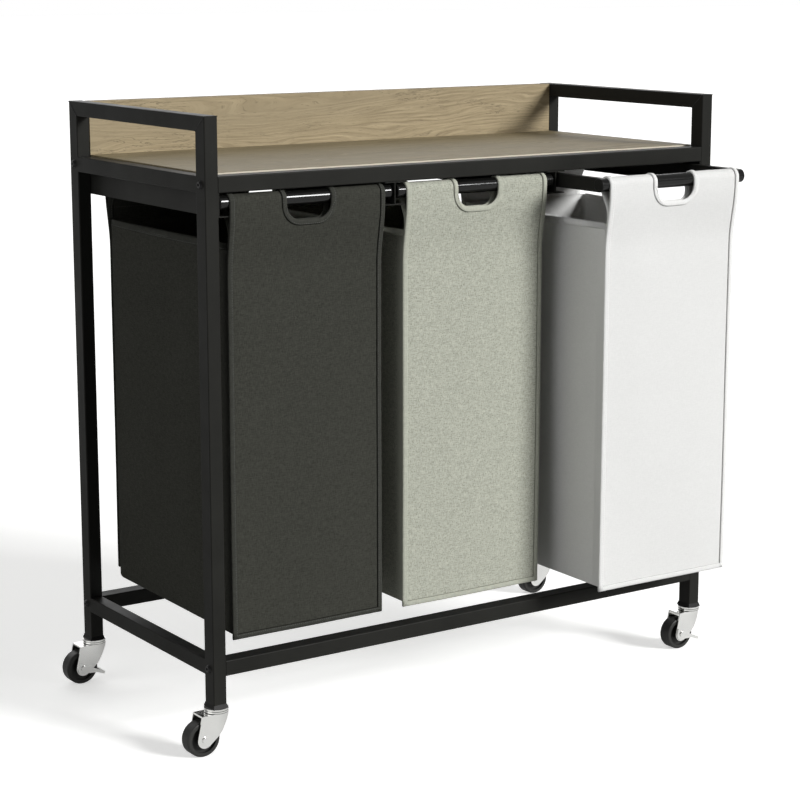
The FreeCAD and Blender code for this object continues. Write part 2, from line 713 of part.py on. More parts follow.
def post_plug(x, y):
    """A plastic plug in the post's end, with a lip that flares over the tube, bored for the stem."""
    hollow = (post_across - 2 * wall - 2 * plug_gap, post_deep - 2 * wall - 2 * plug_gap)
    spigot = box("plug_spigot", (x - hollow[0] / 2, y - hollow[1] / 2, post_foot - 0.5),
                 (hollow[0], hollow[1], plug_deep + 0.5))
    lip_x = post_across / 2 + plug_lip
    lip_y = post_deep / 2 + plug_lip
    lip = doc.addObject("Part::Wedge", "plug_lip")
    for prop, value in (("Xmin", 0), ("Ymin", 0), ("Zmin", 0), ("X2min", plug_lip), ("Z2min", plug_lip),
                        ("Xmax", 2 * lip_x), ("Ymax", plug_lip_high), ("Zmax", 2 * lip_y),
                        ("X2max", 2 * lip_x - plug_lip), ("Z2max", 2 * lip_y - plug_lip)):
        bind(lip, prop, value)
    lip.Placement = Placement(Vector(), Rotation(Vector(1, 0, 0), 90))
    seat(lip, (x - lip_x, y + lip_y, plug_low))
    bore = rod("plug_bore", (x, y, plug_low - 1), stem + thread_gap, plug_deep + plug_lip_high + 3)
    return cut("post_plug", fuse("plug_whole", [spigot, lip]), bore)


def fork(label, x, y):
    """A pressed fork: a top plate, two legs to the axle, and a rounded nose that closes the front."""
    body = new_body(label + "_side_view", (x, y, 0))
    toe = fork_end
    axle_x = 0 - trail
    rise = fork_level - wheel_round
    view = [(0 - fork_back, fork_level)]
    for turn in range(163, 309, 16):
        along, up = cos(radians(turn)), sin(radians(turn))
        view.append((axle_x + toe * along, wheel_round + toe * up))
    view += [(fork_nose * along, wheel_round + rise * up) for along, up in
             ((-0.1, 0.115), (0.12, 0.235), (0.3, 0.38), (0.48, 0.53), (0.64, 0.67), (0.78, 0.79), (0.89, 0.89),
              (0.97, 0.96), (1.0, 1.0))]
    view_sketch = outline(body, "XZ_Plane", [view], label + "_side_outline")
    pad(body, view_sketch, 2 * fork_half, True, label + "_side_pad")

    reach = trail + toe + 1

    def plan(name, inset, low, high):
        half = fork_half - inset
        back = reach + (1 if inset.value > 0 else 0)
        slab = box(name + "_flat", (x - back, y - half, low), (back - fork_bend, 2 * half, high - low))
        tip = oval_post(name + "_nose", (x - fork_bend, y, low), fork_nose - inset + fork_bend, half,
                        high - low)
        return fuse(name, [slab, tip])

    outer = plan(label + "_plan", Size(0, "0"), wheel_round - 2 * fork_end, fork_level + 1)
    shell = common(label + "_shell", body, outer)
    inner = plan(label + "_room", fork_sheet, wheel_round - 2 * fork_end - 1, fork_level - fork_sheet)
    axle_hole = rod(label + "_axle_hole", (x - trail, y - fork_half - 1, wheel_round), axle + thread_gap,
                    2 * fork_half + 2, "Y")
    pin_hole = rod(label + "_pin_hole", (x, y, fork_level - fork_sheet - 1), king_pin + run_gap,
                   fork_sheet + 2)
    away = fuse(label + "_away", [inner, axle_hole, pin_hole])
    return node(label, cut(label + "_cut", shell, away))


def swivel_mount(label, x, y):
    """The race that bears on the plug, with the threaded stem above it and the swivel pin below."""
    race = rod(label + "_race", (x, y, race_low), race_round, race_high)
    screw = rod(label + "_stem", (x, y, race_top - 0.1), stem, stem_long)
    head_top = fork_level - fork_sheet - race_gap
    pin = rod(label + "_pin", (x, y, head_top - king_head_high), king_pin,
              race_low - head_top + king_head_high + 0.1)
    head = rod(label + "_pin_head", (x, y, head_top - king_head_high), king_head, king_head_high)
    return node(label, fuse(label + "_fuse", [race, screw, pin, head]))


def wheel(label, x, y):
    """A plastic wheel with rounded shoulders, a dish in each face and a hub."""
    body = new_body(label + "_body", (x - trail, y, wheel_round))
    half = wheel_wide / 2
    bore = axle + run_gap
    c = wheel_crown
    section = [(bore, 0 - half), (dish_inner, 0 - half), (dish_inner, wheel_dish - half),
               (dish_outer, wheel_dish - half), (dish_outer, 0 - half), (wheel_round - c, 0 - half),
               (wheel_round - c * 0.3, c * 0.3 - half), (wheel_round, c - half),
               (wheel_round, half - c), (wheel_round - c * 0.3, half - c * 0.3), (wheel_round - c, half),
               (dish_outer, half), (dish_outer, half - wheel_dish),
               (dish_inner, half - wheel_dish), (dish_inner, half), (bore, half)]
    sketch = outline(body, "XY_Plane", [section], label + "_section")
    turn = body.newObject("PartDesign::Revolution", label + "_turn")
    turn.Profile = sketch
    turn.ReferenceAxis = (sketch, ["V_Axis"])
    turn.Angle = 360
    doc.recompute()
    return node(label, body)


def axle_pin(label, x, y, side):
    """The riveted axle through both legs, and through the brake lever where there is one."""
    shaft = rod(label + "_shaft", (x - trail, y - side, wheel_round), axle, 2 * side, "Y")
    heads = [rod(label + "_head", (x - trail, y + at, wheel_round), rivet_head, rivet_high, "Y")
             for at in (0 - side - rivet_high, side)]
    return node(label, fuse(label + "_fuse", [shaft] + heads))


def brake_lever(label, x, y, out):
    """Two cheeks that turn on the axle outside the fork, joined by a foot pedal."""
    body = doc.addObject("PartDesign::Body", label + "_cheeks")
    r = lever_round
    lift = lever_lift
    side = [(0 - r * 1.05, lift), (lever_reach, lift), (lever_reach, lift - 4),
            (lever_reach * 0.62, lift - 5), (r * 0.9, 0 - r * 0.45), (r * 0.45, 0 - r * 0.88),
            (r * 0.02, 0 - r), (0 - r * 0.45, 0 - r * 0.85), (0 - r * 0.85, 0 - r * 0.4)]
    sketch = outline(body, "XZ_Plane", [side], label + "_outline")
    pad(body, sketch, 2 * out, True, label + "_pad")
    room = out - lever_sheet
    pedal_from = lever_reach - lever_pedal
    between = box(label + "_between", (0 - 2 * r, 0 - room, 0 - 2 * r),
                  (pedal_from + 2 * r, 2 * room, 4 * r))
    under = box(label + "_under", (pedal_from - 1, 0 - room, 0 - 2 * r),
                (lever_pedal + 2, 2 * room, lift - lever_sheet + 2 * r))
    bore = rod(label + "_bore", (0, 0 - out - 1, 0), axle + run_gap, 2 * out + 2, "Y")
    lever = cut(label + "_cut", body, fuse(label + "_away", [between, under, bore]))
    lever.Placement = Placement(Vector(), Rotation(Vector(0, 1, 0), lever_angle.value))
    seat(lever, (x - trail, y, wheel_round))
    return node(label, lever)


for spot, (x, y) in post_spots.items():
    name = spot + "_caster"
    out = fork_half + lever_gap + lever_sheet if spot in braked else fork_half
    plugs.append(post_plug(x, y))
    swivel_mount(name + "_mount", x, y)
    fork(name + "_fork", x, y)
    axle_pin(name + "_axle", x, y, out + lever_play if spot in braked else out)
    wheel(name + "_wheel", x, y)
    if spot in braked:
        brake_lever(name + "_brake_lever", x, y, out)
node("post_plugs", group("post_plugs_group", plugs))

# ---------------------------------------------------------------- check and write
doc.recompute()
bad = [o.Label for o in doc.Objects if "Invalid" in o.State or "Error" in o.State]
for thing in parts:
    if thing.Shape.isNull() or not thing.Shape.isValid() or not thing.Shape.Solids:
        bad.append(thing.Label)
if bad:
    raise SystemExit("failed: %s" % ", ".join(sorted(set(bad))))
os.makedirs("parts", exist_ok=True)
for thing in parts:
    thing.Shape.exportStep("parts/%s.step" % thing.Label)
print("wrote", len(parts), "parts")
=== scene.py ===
# %% [markdown]
# # A laundry sorter on wheels
# A tube frame carries a shelf, and three sewn bags hang under it on slide-out frames.
# The metal, the boards and the casters come in as finished solids, so this lesson keeps
# their shapes and gives them real surfaces. The bags come in as plain stand-ins, so each
# is sewn again here: two flaps that wrap their bars, a sagging body, bound edges, stitches.

# %% Load the sorter
import json
import math

import bmesh
import bpy
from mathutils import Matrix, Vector, noise


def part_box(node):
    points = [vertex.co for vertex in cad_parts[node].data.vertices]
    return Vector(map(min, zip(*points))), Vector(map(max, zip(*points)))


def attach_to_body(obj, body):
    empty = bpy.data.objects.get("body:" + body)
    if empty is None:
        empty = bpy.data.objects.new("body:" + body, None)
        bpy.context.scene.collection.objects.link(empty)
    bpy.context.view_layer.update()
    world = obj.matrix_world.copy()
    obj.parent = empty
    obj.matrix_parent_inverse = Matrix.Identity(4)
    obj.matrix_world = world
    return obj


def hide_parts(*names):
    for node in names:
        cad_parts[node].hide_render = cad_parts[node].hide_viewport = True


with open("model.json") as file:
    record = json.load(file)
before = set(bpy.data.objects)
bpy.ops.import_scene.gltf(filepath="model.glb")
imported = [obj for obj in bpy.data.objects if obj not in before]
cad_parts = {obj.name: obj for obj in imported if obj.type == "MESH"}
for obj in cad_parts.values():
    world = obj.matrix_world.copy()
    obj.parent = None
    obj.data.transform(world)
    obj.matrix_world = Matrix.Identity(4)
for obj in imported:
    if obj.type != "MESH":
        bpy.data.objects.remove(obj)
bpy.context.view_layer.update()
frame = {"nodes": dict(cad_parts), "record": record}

# %% [markdown]
# Everything is in metres, but cloth and thread are easier to think of in millimetres.

# %% Units and small helpers
MM = 0.001
BAYS = ("left", "middle", "right")


def middle(node):
    """The middle of a node's box."""
    low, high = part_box(node)
    return (low + high) / 2


def smooth_step(t):
    t = min(max(t, 0.0), 1.0)
    return t * t * (3 - 2 * t)


def mesh_piece(name, points, faces, uvs=None):
    """A smooth mesh object; uvs is one (u, v) for each point, in metres."""
    mesh = bpy.data.meshes.new(name)
    mesh.from_pydata([tuple(p) for p in points], [], faces)
    if uvs:
        layer = mesh.uv_layers.new(name="cloth")
        for loop in mesh.loops:
            layer.data[loop.index].uv = uvs[loop.vertex_index]
    mesh.polygons.foreach_set("use_smooth", [True] * len(mesh.polygons))
    piece = bpy.data.objects.new(name, mesh)
    bpy.context.scene.collection.objects.link(piece)
    return piece


print("bays:", ", ".join(BAYS))

# %% [markdown]
# ## Surfaces
# Each finish is a tree of shader nodes. What several finishes share, such as the weave or
# the fine grain of a moulded or coated surface, is a node group with named inputs, built
# once. The groups read the piece's own coordinates, so a pattern stays on its piece.

# %% Node helpers
def add(tree, kind, inputs=None, **settings):
    """Add a node; each input is a value or another node's output socket."""
    made = tree.nodes.new(kind)
    for key, value in settings.items():
        setattr(made, key, value)
    for key, value in (inputs or {}).items():
        if isinstance(value, bpy.types.NodeSocket):
            tree.links.new(value, made.inputs[key])
        else:
            made.inputs[key].default_value = value
    return made


def maths(tree, operation, first, second=0.0):
    return add(tree, "ShaderNodeMath", {0: first, 1: second}, operation=operation).outputs[0]


def blend_colour(tree, factor, first, second):
    made = add(tree, "ShaderNodeMix", {"Factor": factor}, data_type="RGBA")
    for socket, value in ((made.inputs[6], first), (made.inputs[7], second)):
        if isinstance(value, bpy.types.NodeSocket):
            tree.links.new(value, socket)
        else:
            socket.default_value = (*value, 1)
    return made.outputs[2]


def scaled(tree, vector, factors):
    return add(tree, "ShaderNodeVectorMath", {0: vector, 1: factors}, operation="MULTIPLY").outputs[0]


def speckle(tree, vector, scale, detail=2.0, roughness=0.5, distortion=0.0):
    return add(tree, "ShaderNodeTexNoise", {"Vector": vector, "Scale": scale, "Detail": detail,
                                            "Roughness": roughness, "Distortion": distortion}).outputs[0]


def ranged(tree, value, low, high, to_low=0.0, to_high=1.0):
    return add(tree, "ShaderNodeMapRange", {0: value, 1: low, 2: high, 3: to_low, 4: to_high}).outputs[0]


def new_group(name, inputs, outputs):
    """An empty shader group with named number sockets; returns its tree, input and output."""
    tree = bpy.data.node_groups.new(name, "ShaderNodeTree")
    for label, value in inputs.items():
        socket = tree.interface.new_socket(label, in_out="INPUT", socket_type="NodeSocketFloat")
        socket.default_value = value
    for label in outputs:
        tree.interface.new_socket(label, in_out="OUTPUT", socket_type="NodeSocketFloat")
    return tree, add(tree, "NodeGroupInput"), add(tree, "NodeGroupOutput")


def use_group(tree, group, inputs):
    made = add(tree, "ShaderNodeGroup", node_tree=group)
    for label, value in inputs.items():
        made.inputs[label].default_value = value
    return made.outputs


def finish(name, colour, roughness, metallic=0.0, height=None, depth=0.0, **fixed):
    """A material round one Principled BSDF. colour, roughness: a builder function or a value."""
    material = bpy.data.materials.new(name)
    material.use_nodes = True
    tree = material.node_tree
    tree.nodes.clear()
    shader = add(tree, "ShaderNodeBsdfPrincipled", {"Metallic": metallic})
    for label, value in fixed.items():
        shader.inputs[label.replace("_", " ")].default_value = value
    add(tree, "ShaderNodeOutputMaterial", {"Surface": shader.outputs[0]})
    for label, value in (("Base Color", colour), ("Roughness", roughness)):
        made = value(tree) if callable(value) else value
        if isinstance(made, bpy.types.NodeSocket):
            tree.links.new(made, shader.inputs[label])
        else:
            shader.inputs[label].default_value = (*made, 1) if label == "Base Color" else made
    if height:
        bump = add(tree, "ShaderNodeBump", {"Height": height(tree), "Strength": 1.0, "Distance": depth})
        tree.links.new(bump.outputs[0], shader.inputs["Normal"])
    return material


print("node helpers ready")

# %% [markdown]
# ### Cloth
# The bags are plain-woven polyester. Two waves at right angles give the over-and-under of
# the threads. Noise that is stretched along each thread direction gives thick and thin
# yarn, which is what the eye takes for cloth from a few steps away.

# %% The weave group
weave, weave_in, weave_out = new_group(
    "woven yarn", {"Thread": 0.5 * MM, "Slub along": 7 * MM, "Slub across": 0.9 * MM},
    ("Height", "Yarn", "Fleck", "Cloud"))
cloth_uv = add(weave, "ShaderNodeTexCoord").outputs["UV"]
split = add(weave, "ShaderNodeSeparateXYZ", {0: cloth_uv})
waves = []
for axis in ("X", "Y"):
    turns = maths(weave, "DIVIDE", split.outputs[axis], weave_in.outputs["Thread"])
    waves.append(maths(weave, "SINE", maths(weave, "MULTIPLY", turns, math.pi)))
crossing = maths(weave, "MULTIPLY", waves[0], waves[1])

yarns = []
for long_axis in ("X", "Y"):
    parts = []
    for axis in ("X", "Y"):
        pitch = weave_in.outputs["Slub along" if axis == long_axis else "Slub across"]
        parts.append(maths(weave, "DIVIDE", split.outputs[axis], pitch))
    stretched = add(weave, "ShaderNodeCombineXYZ", {0: parts[0], 1: parts[1],
                                                    2: 3.7 if long_axis == "X" else 8.2}).outputs[0]
    yarns.append(speckle(weave, stretched, 1.0, 1.0))
yarn = maths(weave, "MULTIPLY", maths(weave, "ADD", yarns[0], yarns[1]), 0.5)
fleck = speckle(weave, scaled(weave, cloth_uv, (1.0, 0.6, 1.0)), 680.0, 1.5, 0.6)
cloud = speckle(weave, cloth_uv, 7.0, 3.0, 0.55)
height = maths(weave, "ADD", maths(weave, "MULTIPLY", crossing, 0.5), yarn)
for label, socket in (("Height", height), ("Yarn", yarn), ("Fleck", fleck), ("Cloud", cloud)):
    weave.links.new(socket, weave_out.inputs[label])
print("weave group:", len(weave.nodes), "nodes")


# %% The cloth finish
def cloth(name, colour, contrast, flecks, fleck_colour, thread=0.5 * MM, sheen=0.1, gloss=0.2):
    """Woven polyester: yarn-to-yarn contrast, and flecks of a second colour in the yarn."""
    def shade(tree):
        outputs = use_group(tree, weave, {"Thread": thread})
        dark = [c * (1 - contrast) for c in colour]
        light = [min(c * (1 + contrast), 1.0) for c in colour]
        yarn_mix = ranged(tree, outputs["Yarn"], 0.36, 0.64)
        woven = blend_colour(tree, yarn_mix, dark, light)
        spots = ranged(tree, outputs["Fleck"], 0.56, 0.72, 0.0, flecks)
        flecked = blend_colour(tree, spots, woven, fleck_colour)
        clouded = ranged(tree, outputs["Cloud"], 0.3, 0.7, 0.05, 0.0)
        return blend_colour(tree, clouded, flecked, [c * 0.5 for c in colour])

    def nap(tree):
        return ranged(tree, use_group(tree, weave, {})["Cloud"], 0.3, 0.7, 0.82, 0.94)

    def relief(tree):
        return use_group(tree, weave, {"Thread": thread})["Height"]

    return finish(name, shade, nap, height=relief, depth=0.2 * MM, Sheen_Weight=sheen,
                  Specular_IOR_Level=gloss)


# %% Three cloths, each with its tape and its painted groove shade
CLOTH_COLOURS = {"left": (0.041, 0.0415, 0.0345), "middle": (0.41, 0.42, 0.352),
                 "right": (0.755, 0.755, 0.74)}
GROOVE_PAINTED_SHADE = {"left": 0.35, "middle": 0.5, "right": 0.72}    # painted shade beside the tape, as a share of the cloth's colour
bag_cloth = {
    "left": cloth("charcoal cloth", CLOTH_COLOURS["left"], 0.26, 0.5, (0.058, 0.059, 0.051),
                  0.5 * MM, 0.0, 0.08),
    "middle": cloth("heather cloth", CLOTH_COLOURS["middle"], 0.23, 0.95, (0.19, 0.20, 0.155)),
    "right": cloth("white cloth", CLOTH_COLOURS["right"], 0.03, 0.12, (0.70, 0.70, 0.69))}
tape_cloth = {
    "left": cloth("charcoal tape", (0.041, 0.042, 0.036), 0.15, 0.2, (0.06, 0.06, 0.052), 0.8 * MM,
                  0.0, 0.08),
    "middle": cloth("heather tape", (0.42, 0.43, 0.36), 0.09, 0.3, (0.30, 0.31, 0.25), 0.8 * MM),
    "right": cloth("white tape", (0.77, 0.77, 0.755), 0.02, 0.05, (0.74, 0.74, 0.73), 0.8 * MM)}
# darker copies of each cloth: painted shade for the sewn groove beside the tape
groove_shade_cloth = {}
for bay in BAYS:
    shaded = [c * GROOVE_PAINTED_SHADE[bay] for c in CLOTH_COLOURS[bay]]
    groove_shade_cloth[bay] = cloth(bay + " painted groove shade", shaded, 0.15, 0.0, (0.0, 0.0, 0.0), 0.8 * MM, 0.0, 0.05)
print("cloth, tape and crease for", ", ".join(BAYS))


# %% The thread
def thread_finish(name, colour):
    def twist(tree):
        place = add(tree, "ShaderNodeTexCoord").outputs["Object"]
        return speckle(tree, place, 2600.0, 1.0)
    return finish(name, lambda tree: blend_colour(tree, twist(tree), [c * 0.75 for c in colour], colour),
                  0.6, height=twist, depth=0.05 * MM)


bag_thread = {"left": thread_finish("charcoal thread", (0.075, 0.076, 0.07)),
              "middle": thread_finish("heather thread", (0.40, 0.41, 0.34)),
              "right": thread_finish("white thread", (0.72, 0.72, 0.70))}
print("thread for", ", ".join(bag_thread))

# %% [markdown]
# ### Coated metal and moulded plastic
# Powder coat has a faint orange peel and a sheen that wanders a little. The same group,
# with other sizes, serves the plastics.

# %% The fine grain group
grain, grain_in, grain_out = new_group("fine grain", {"Peel": 420.0, "Smudge": 9.0}, ("Height", "Smudge"))
here = add(grain, "ShaderNodeTexCoord").outputs["Object"]
peel = speckle(grain, here, grain_in.outputs["Peel"], 2.0, 0.5)
smudge = speckle(grain, here, grain_in.outputs["Smudge"], 4.0, 0.6)
grain.links.new(peel, grain_out.inputs["Height"])
grain.links.new(smudge, grain_out.inputs["Smudge"])
print("grain group:", len(grain.nodes), "nodes")


# %% The coats and plastics
def coated(name, dark, light, smooth, rough, peel_scale, depth, metallic=0.0, **fixed):
    """A coated or moulded surface whose colour and sheen wander between two values."""
    def shade(tree):
        smudged = ranged(tree, use_group(tree, grain, {})["Smudge"], 0.3, 0.7)
        return blend_colour(tree, smudged, dark, light)

    def sheen(tree):
        smudged = use_group(tree, grain, {"Smudge": 14.0})["Smudge"]
        return ranged(tree, smudged, 0.3, 0.7, smooth, rough)

    def relief(tree):
        return use_group(tree, grain, {"Peel": peel_scale})["Height"]

    return finish(name, shade, sheen, metallic, relief, depth, **fixed)


powder_coat = coated("black powder coat", (0.0143, 0.0143, 0.0128), (0.0198, 0.0198, 0.0176), 0.36, 0.48,
                     520.0, 0.05 * MM, Specular_IOR_Level=0.06)
bar_coat = coated("black bar coat", (0.005, 0.005, 0.0047), (0.007, 0.007, 0.0065), 0.09, 0.15,
                  700.0, 0.02 * MM, Specular_IOR_Level=0.3)
black_oxide = coated("black oxide", (0.004, 0.004, 0.004), (0.007, 0.007, 0.007), 0.25, 0.36,
                     900.0, 0.02 * MM, Specular_IOR_Level=0.25)
moulded = coated("black moulded plastic", (0.007, 0.007, 0.0065), (0.010, 0.010, 0.0095), 0.34, 0.46,
                 1100.0, 0.03 * MM, Specular_IOR_Level=0.1)
tyre_plastic = coated("wheel plastic", (0.013, 0.013, 0.012), (0.022, 0.022, 0.020), 0.38, 0.55,
                      300.0, 0.06 * MM, Specular_IOR_Level=0.3)
zinc = coated("bright zinc", (0.74, 0.74, 0.73), (0.86, 0.86, 0.84), 0.08, 0.2, 160.0, 0.012 * MM, 1.0)

# near black: painted shade of the seam's groove, worn by the weld bead
seam_shadow = coated("weld seam painted shade", (0.002, 0.002, 0.002), (0.004, 0.004, 0.004), 0.6, 0.8, 900.0, 0.02 * MM)
print("coats and plastics:", powder_coat.name, "and six more")

# %% The turned steel of the swivel races
RACE_SEAM = 3.4 * MM      # fork's top plate up to the line where the race's halves meet
RACE_SHADOW_FADES = 0.7 * MM      # and up to where the painted shadow under the race starts to fade
RACE_SHADOW_ENDS = 1.1 * MM     # and to where it ends


def race_finish():
    """Turned steel: bright metal with a dark line where the two halves of the race meet, and painted shadow
    at its foot, above the fork's top plate.
    """
    made = coated("turned steel race", (0.70, 0.70, 0.69), (0.80, 0.80, 0.78), 0.12, 0.24,
                  260.0, 0.01 * MM, 1.0)
    tree = made.node_tree
    shader = tree.nodes["Principled BSDF"]
    bright = shader.inputs["Base Color"].links[0].from_socket
    fork_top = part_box("front_left_caster_fork")[1].z
    place = add(tree, "ShaderNodeTexCoord").outputs["Object"]
    up = add(tree, "ShaderNodeSeparateXYZ", {0: place}).outputs["Z"]
    seam = maths(tree, "ABSOLUTE", maths(tree, "SUBTRACT", up, fork_top + RACE_SEAM))
    # painted shadow under the race: dark at the fork's top plate, fading out just above it
    foot = ranged(tree, up, fork_top + RACE_SHADOW_FADES, fork_top + RACE_SHADOW_ENDS, 1.0, 0.0)
    lines = maths(tree, "MAXIMUM", ranged(tree, seam, 0.25 * MM, 0.5 * MM, 1.0, 0.0), foot)
    tree.links.new(blend_colour(tree, lines, bright, (0.05, 0.05, 0.05)), shader.inputs["Base Color"])
    return made


race_steel = race_finish()
print("race finish:", len(race_steel.node_tree.nodes), "nodes")

# %% [markdown]
# ### Wood
# The boards wear a printed oak: pale, grey-brown, with the grain along the shelf. A slow
# noise bends the growth lines into arches, a few knots push them apart, and short dark
# pores follow them. The shelf's edges take a lighter band, a painted highlight where the
# rounded edge catches the light; the backboard's edges take a darker one.

# %% The oak group
oak, oak_in, oak_out = new_group("oak figure", {"Line pitch": 6 * MM, "Offset": 0.0},
                                 ("Figure", "Pore", "Tone", "Crack"))
at = add(oak, "ShaderNodeSeparateXYZ", {0: add(oak, "ShaderNodeTexCoord").outputs["Object"]})
across = maths(oak, "ADD", maths(oak, "ADD", at.outputs["Y"], at.outputs["Z"]), oak_in.outputs["Offset"])
slow = add(oak, "ShaderNodeCombineXYZ", {0: maths(oak, "MULTIPLY", at.outputs["X"], 2.2),
                                         1: maths(oak, "MULTIPLY", across, 9.0), 2: 0.4}).outputs[0]
arches = speckle(oak, slow, 1.0, 3.0, 0.45, 0.35)
knot_at = scaled(oak, slow, (0.85, 0.55, 1.0))
knot_field = add(oak, "ShaderNodeTexVoronoi", {"Vector": knot_at, "Scale": 1.0})
knot = maths(oak, "POWER", ranged(oak, knot_field.outputs["Distance"], 0.0, 0.34, 1.0, 0.0), 2.0)
pushed = maths(oak, "ADD", maths(oak, "MULTIPLY", arches, 0.16), maths(oak, "MULTIPLY", knot, 0.055))
rings = maths(oak, "DIVIDE", maths(oak, "ADD", across, pushed), oak_in.outputs["Line pitch"])
ring_wave = maths(oak, "SINE", maths(oak, "MULTIPLY", rings, 2 * math.pi))
streak_at = add(oak, "ShaderNodeCombineXYZ", {0: maths(oak, "MULTIPLY", at.outputs["X"], 16.0),
                                              1: maths(oak, "MULTIPLY", rings, 2.4), 2: 1.7}).outputs[0]
streaks = speckle(oak, streak_at, 1.0, 4.0, 0.6)
pore_at = add(oak, "ShaderNodeCombineXYZ", {0: maths(oak, "MULTIPLY", at.outputs["X"], 70.0),
                                            1: maths(oak, "MULTIPLY", rings, 7.0), 2: 5.1}).outputs[0]
pores = ranged(oak, speckle(oak, pore_at, 1.0, 2.0, 0.5), 0.60, 0.70)
figure = maths(oak, "ADD", maths(oak, "MULTIPLY", ring_wave, 0.055), streaks)
figure = maths(oak, "SUBTRACT", figure, maths(oak, "MULTIPLY", knot, 0.22))
split_at = add(oak, "ShaderNodeCombineXYZ", {0: maths(oak, "MULTIPLY", at.outputs["X"], 9.0),
                                             1: maths(oak, "MULTIPLY", across, 75.0), 2: 2.9}).outputs[0]
nearness = maths(oak, "ABSOLUTE", maths(oak, "SUBTRACT", speckle(oak, split_at, 1.0, 5.0, 0.62, 0.8), 0.5))
thin = ranged(oak, nearness, 0.0, 0.016, 1.0, 0.0)
patchy = ranged(oak, speckle(oak, slow, 2.3, 2.0, 0.5), 0.47, 0.57)
cracks = maths(oak, "MULTIPLY", thin, patchy)
for label, socket in (("Figure", figure), ("Pore", pores), ("Tone", arches), ("Crack", cracks)):
    oak.links.new(socket, oak_out.inputs[label])
print("oak group:", len(oak.nodes), "nodes")


# %% The two boards' finishes
def oak_finish(name, dark, light, edge, offset, line_pitch):
    """Printed oak; edge is the axis that the banded edges face, and the band's colour, which on the shelf
    is a painted highlight.
    """
    def shade(tree):
        outputs = use_group(tree, oak, {"Offset": offset, "Line pitch": line_pitch})
        body = blend_colour(tree, ranged(tree, outputs["Figure"], 0.28, 0.72), dark, light)
        toned = blend_colour(tree, ranged(tree, outputs["Tone"], 0.42, 0.66, 0.0, 0.6), body,
                             [c * 0.66 for c in light])
        pored = blend_colour(tree, maths(tree, "MULTIPLY", outputs["Pore"], 0.45), toned,
                             [c * 0.5 for c in dark])
        pored = blend_colour(tree, maths(tree, "MULTIPLY", outputs["Crack"], 0.7), pored,
                             [c * 0.35 for c in dark])
        # faces turned to that axis take the band's colour; on the shelf's edge this is a painted highlight
        normal = add(tree, "ShaderNodeNewGeometry").outputs["Normal"]
        facing = add(tree, "ShaderNodeSeparateXYZ", {0: normal})
        banded = ranged(tree, maths(tree, "ABSOLUTE", facing.outputs[edge[0]]), 0.6, 0.9)
        return blend_colour(tree, banded, pored, edge[1])

    def sheen(tree):
        return ranged(tree, use_group(tree, oak, {"Offset": offset})["Figure"], 0.3, 0.7, 0.62, 0.5)

    def relief(tree):
        outputs = use_group(tree, oak, {"Offset": offset, "Line pitch": line_pitch})
        return maths(tree, "SUBTRACT", outputs["Figure"], maths(tree, "MULTIPLY", outputs["Pore"], 0.6))

    return finish(name, shade, sheen, height=relief, depth=0.10 * MM, Specular_IOR_Level=0.3)


# the shelf's edge band: a painted highlight
SHELF_EDGE_HIGHLIGHT = (0.58, 0.53, 0.43)
BACK_BAND = (0.20, 0.165, 0.12)
shelf_oak = oak_finish("shelf oak", (0.143, 0.110, 0.058), (0.280, 0.232, 0.135),
                       ("Y", SHELF_EDGE_HIGHLIGHT), 0.31, 7 * MM)
back_oak = oak_finish("backboard oak", (0.215, 0.166, 0.092), (0.382, 0.308, 0.185),
                      ("Z", BACK_BAND), 0.0, 8 * MM)
print("wood figures ready")

# %% [markdown]
# ## The solids that stay
# Each metal, plastic and wooden solid keeps its shape and takes a finish by what it is.

# %% Dress the solids
slot_finish = {"black_tube": powder_coat, "grey_wood": shelf_oak, "black_plastic": moulded,
               "black_screw": black_oxide, "zinc": zinc, "black_wheel": tyre_plastic}


def dress(node, material):
    mesh = frame["nodes"][node].data
    mesh.materials.clear()
    mesh.materials.append(material)


for row in frame["record"]["subparts"]:
    if row["material_slot"] in slot_finish:
        dress(row["node"], slot_finish[row["material_slot"]])
    if row["node"].endswith("_caster_mount"):
        dress(row["node"], race_steel)
dress("back_board", back_oak)
for bay in BAYS:
    for bar in ("front_bar", "rear_bar"):
        dress("%s_slide_%s" % (bay, bar), bar_coat)

# %% [markdown]
# ### Pieces that grow along lines
# Weld beads and stitches both follow lines. Each has a Geometry Nodes tree that spaces
# points along the lines it is given, and both trees start and end alike. The grown result
# is kept as a plain mesh, so nothing is left to evaluate later.

# %% Start, end and run a line tree
def begin_line_tree(name, sizes):
    """A tree that spaces points along polylines; returns it, its inputs and the spaced curve."""
    tree = bpy.data.node_groups.new(name, "GeometryNodeTree")
    sockets = tree.interface
    sockets.new_socket("Geometry", in_out="INPUT", socket_type="NodeSocketGeometry")
    for label, value in sizes.items():
        socket = sockets.new_socket(label, in_out="INPUT", socket_type="NodeSocketFloat")
        socket.default_value = value
    sockets.new_socket("Material", in_out="INPUT", socket_type="NodeSocketMaterial")
    sockets.new_socket("Geometry", in_out="OUTPUT", socket_type="NodeSocketGeometry")
    given = add(tree, "NodeGroupInput").outputs
    curve = add(tree, "GeometryNodeMeshToCurve", {"Mesh": given["Geometry"]}).outputs[0]
    spaced = add(tree, "GeometryNodeResampleCurve", {"Curve": curve}, mode="LENGTH")
    tree.links.new(given["Pitch"], spaced.inputs["Length"])
    return tree, given, spaced.outputs[0]


def end_line_tree(tree, given, geometry):
    done = add(tree, "GeometryNodeSetMaterial", {"Geometry": geometry, "Material": given["Material"]})
    add(tree, "NodeGroupOutput", {0: done.outputs[0]})
    return tree


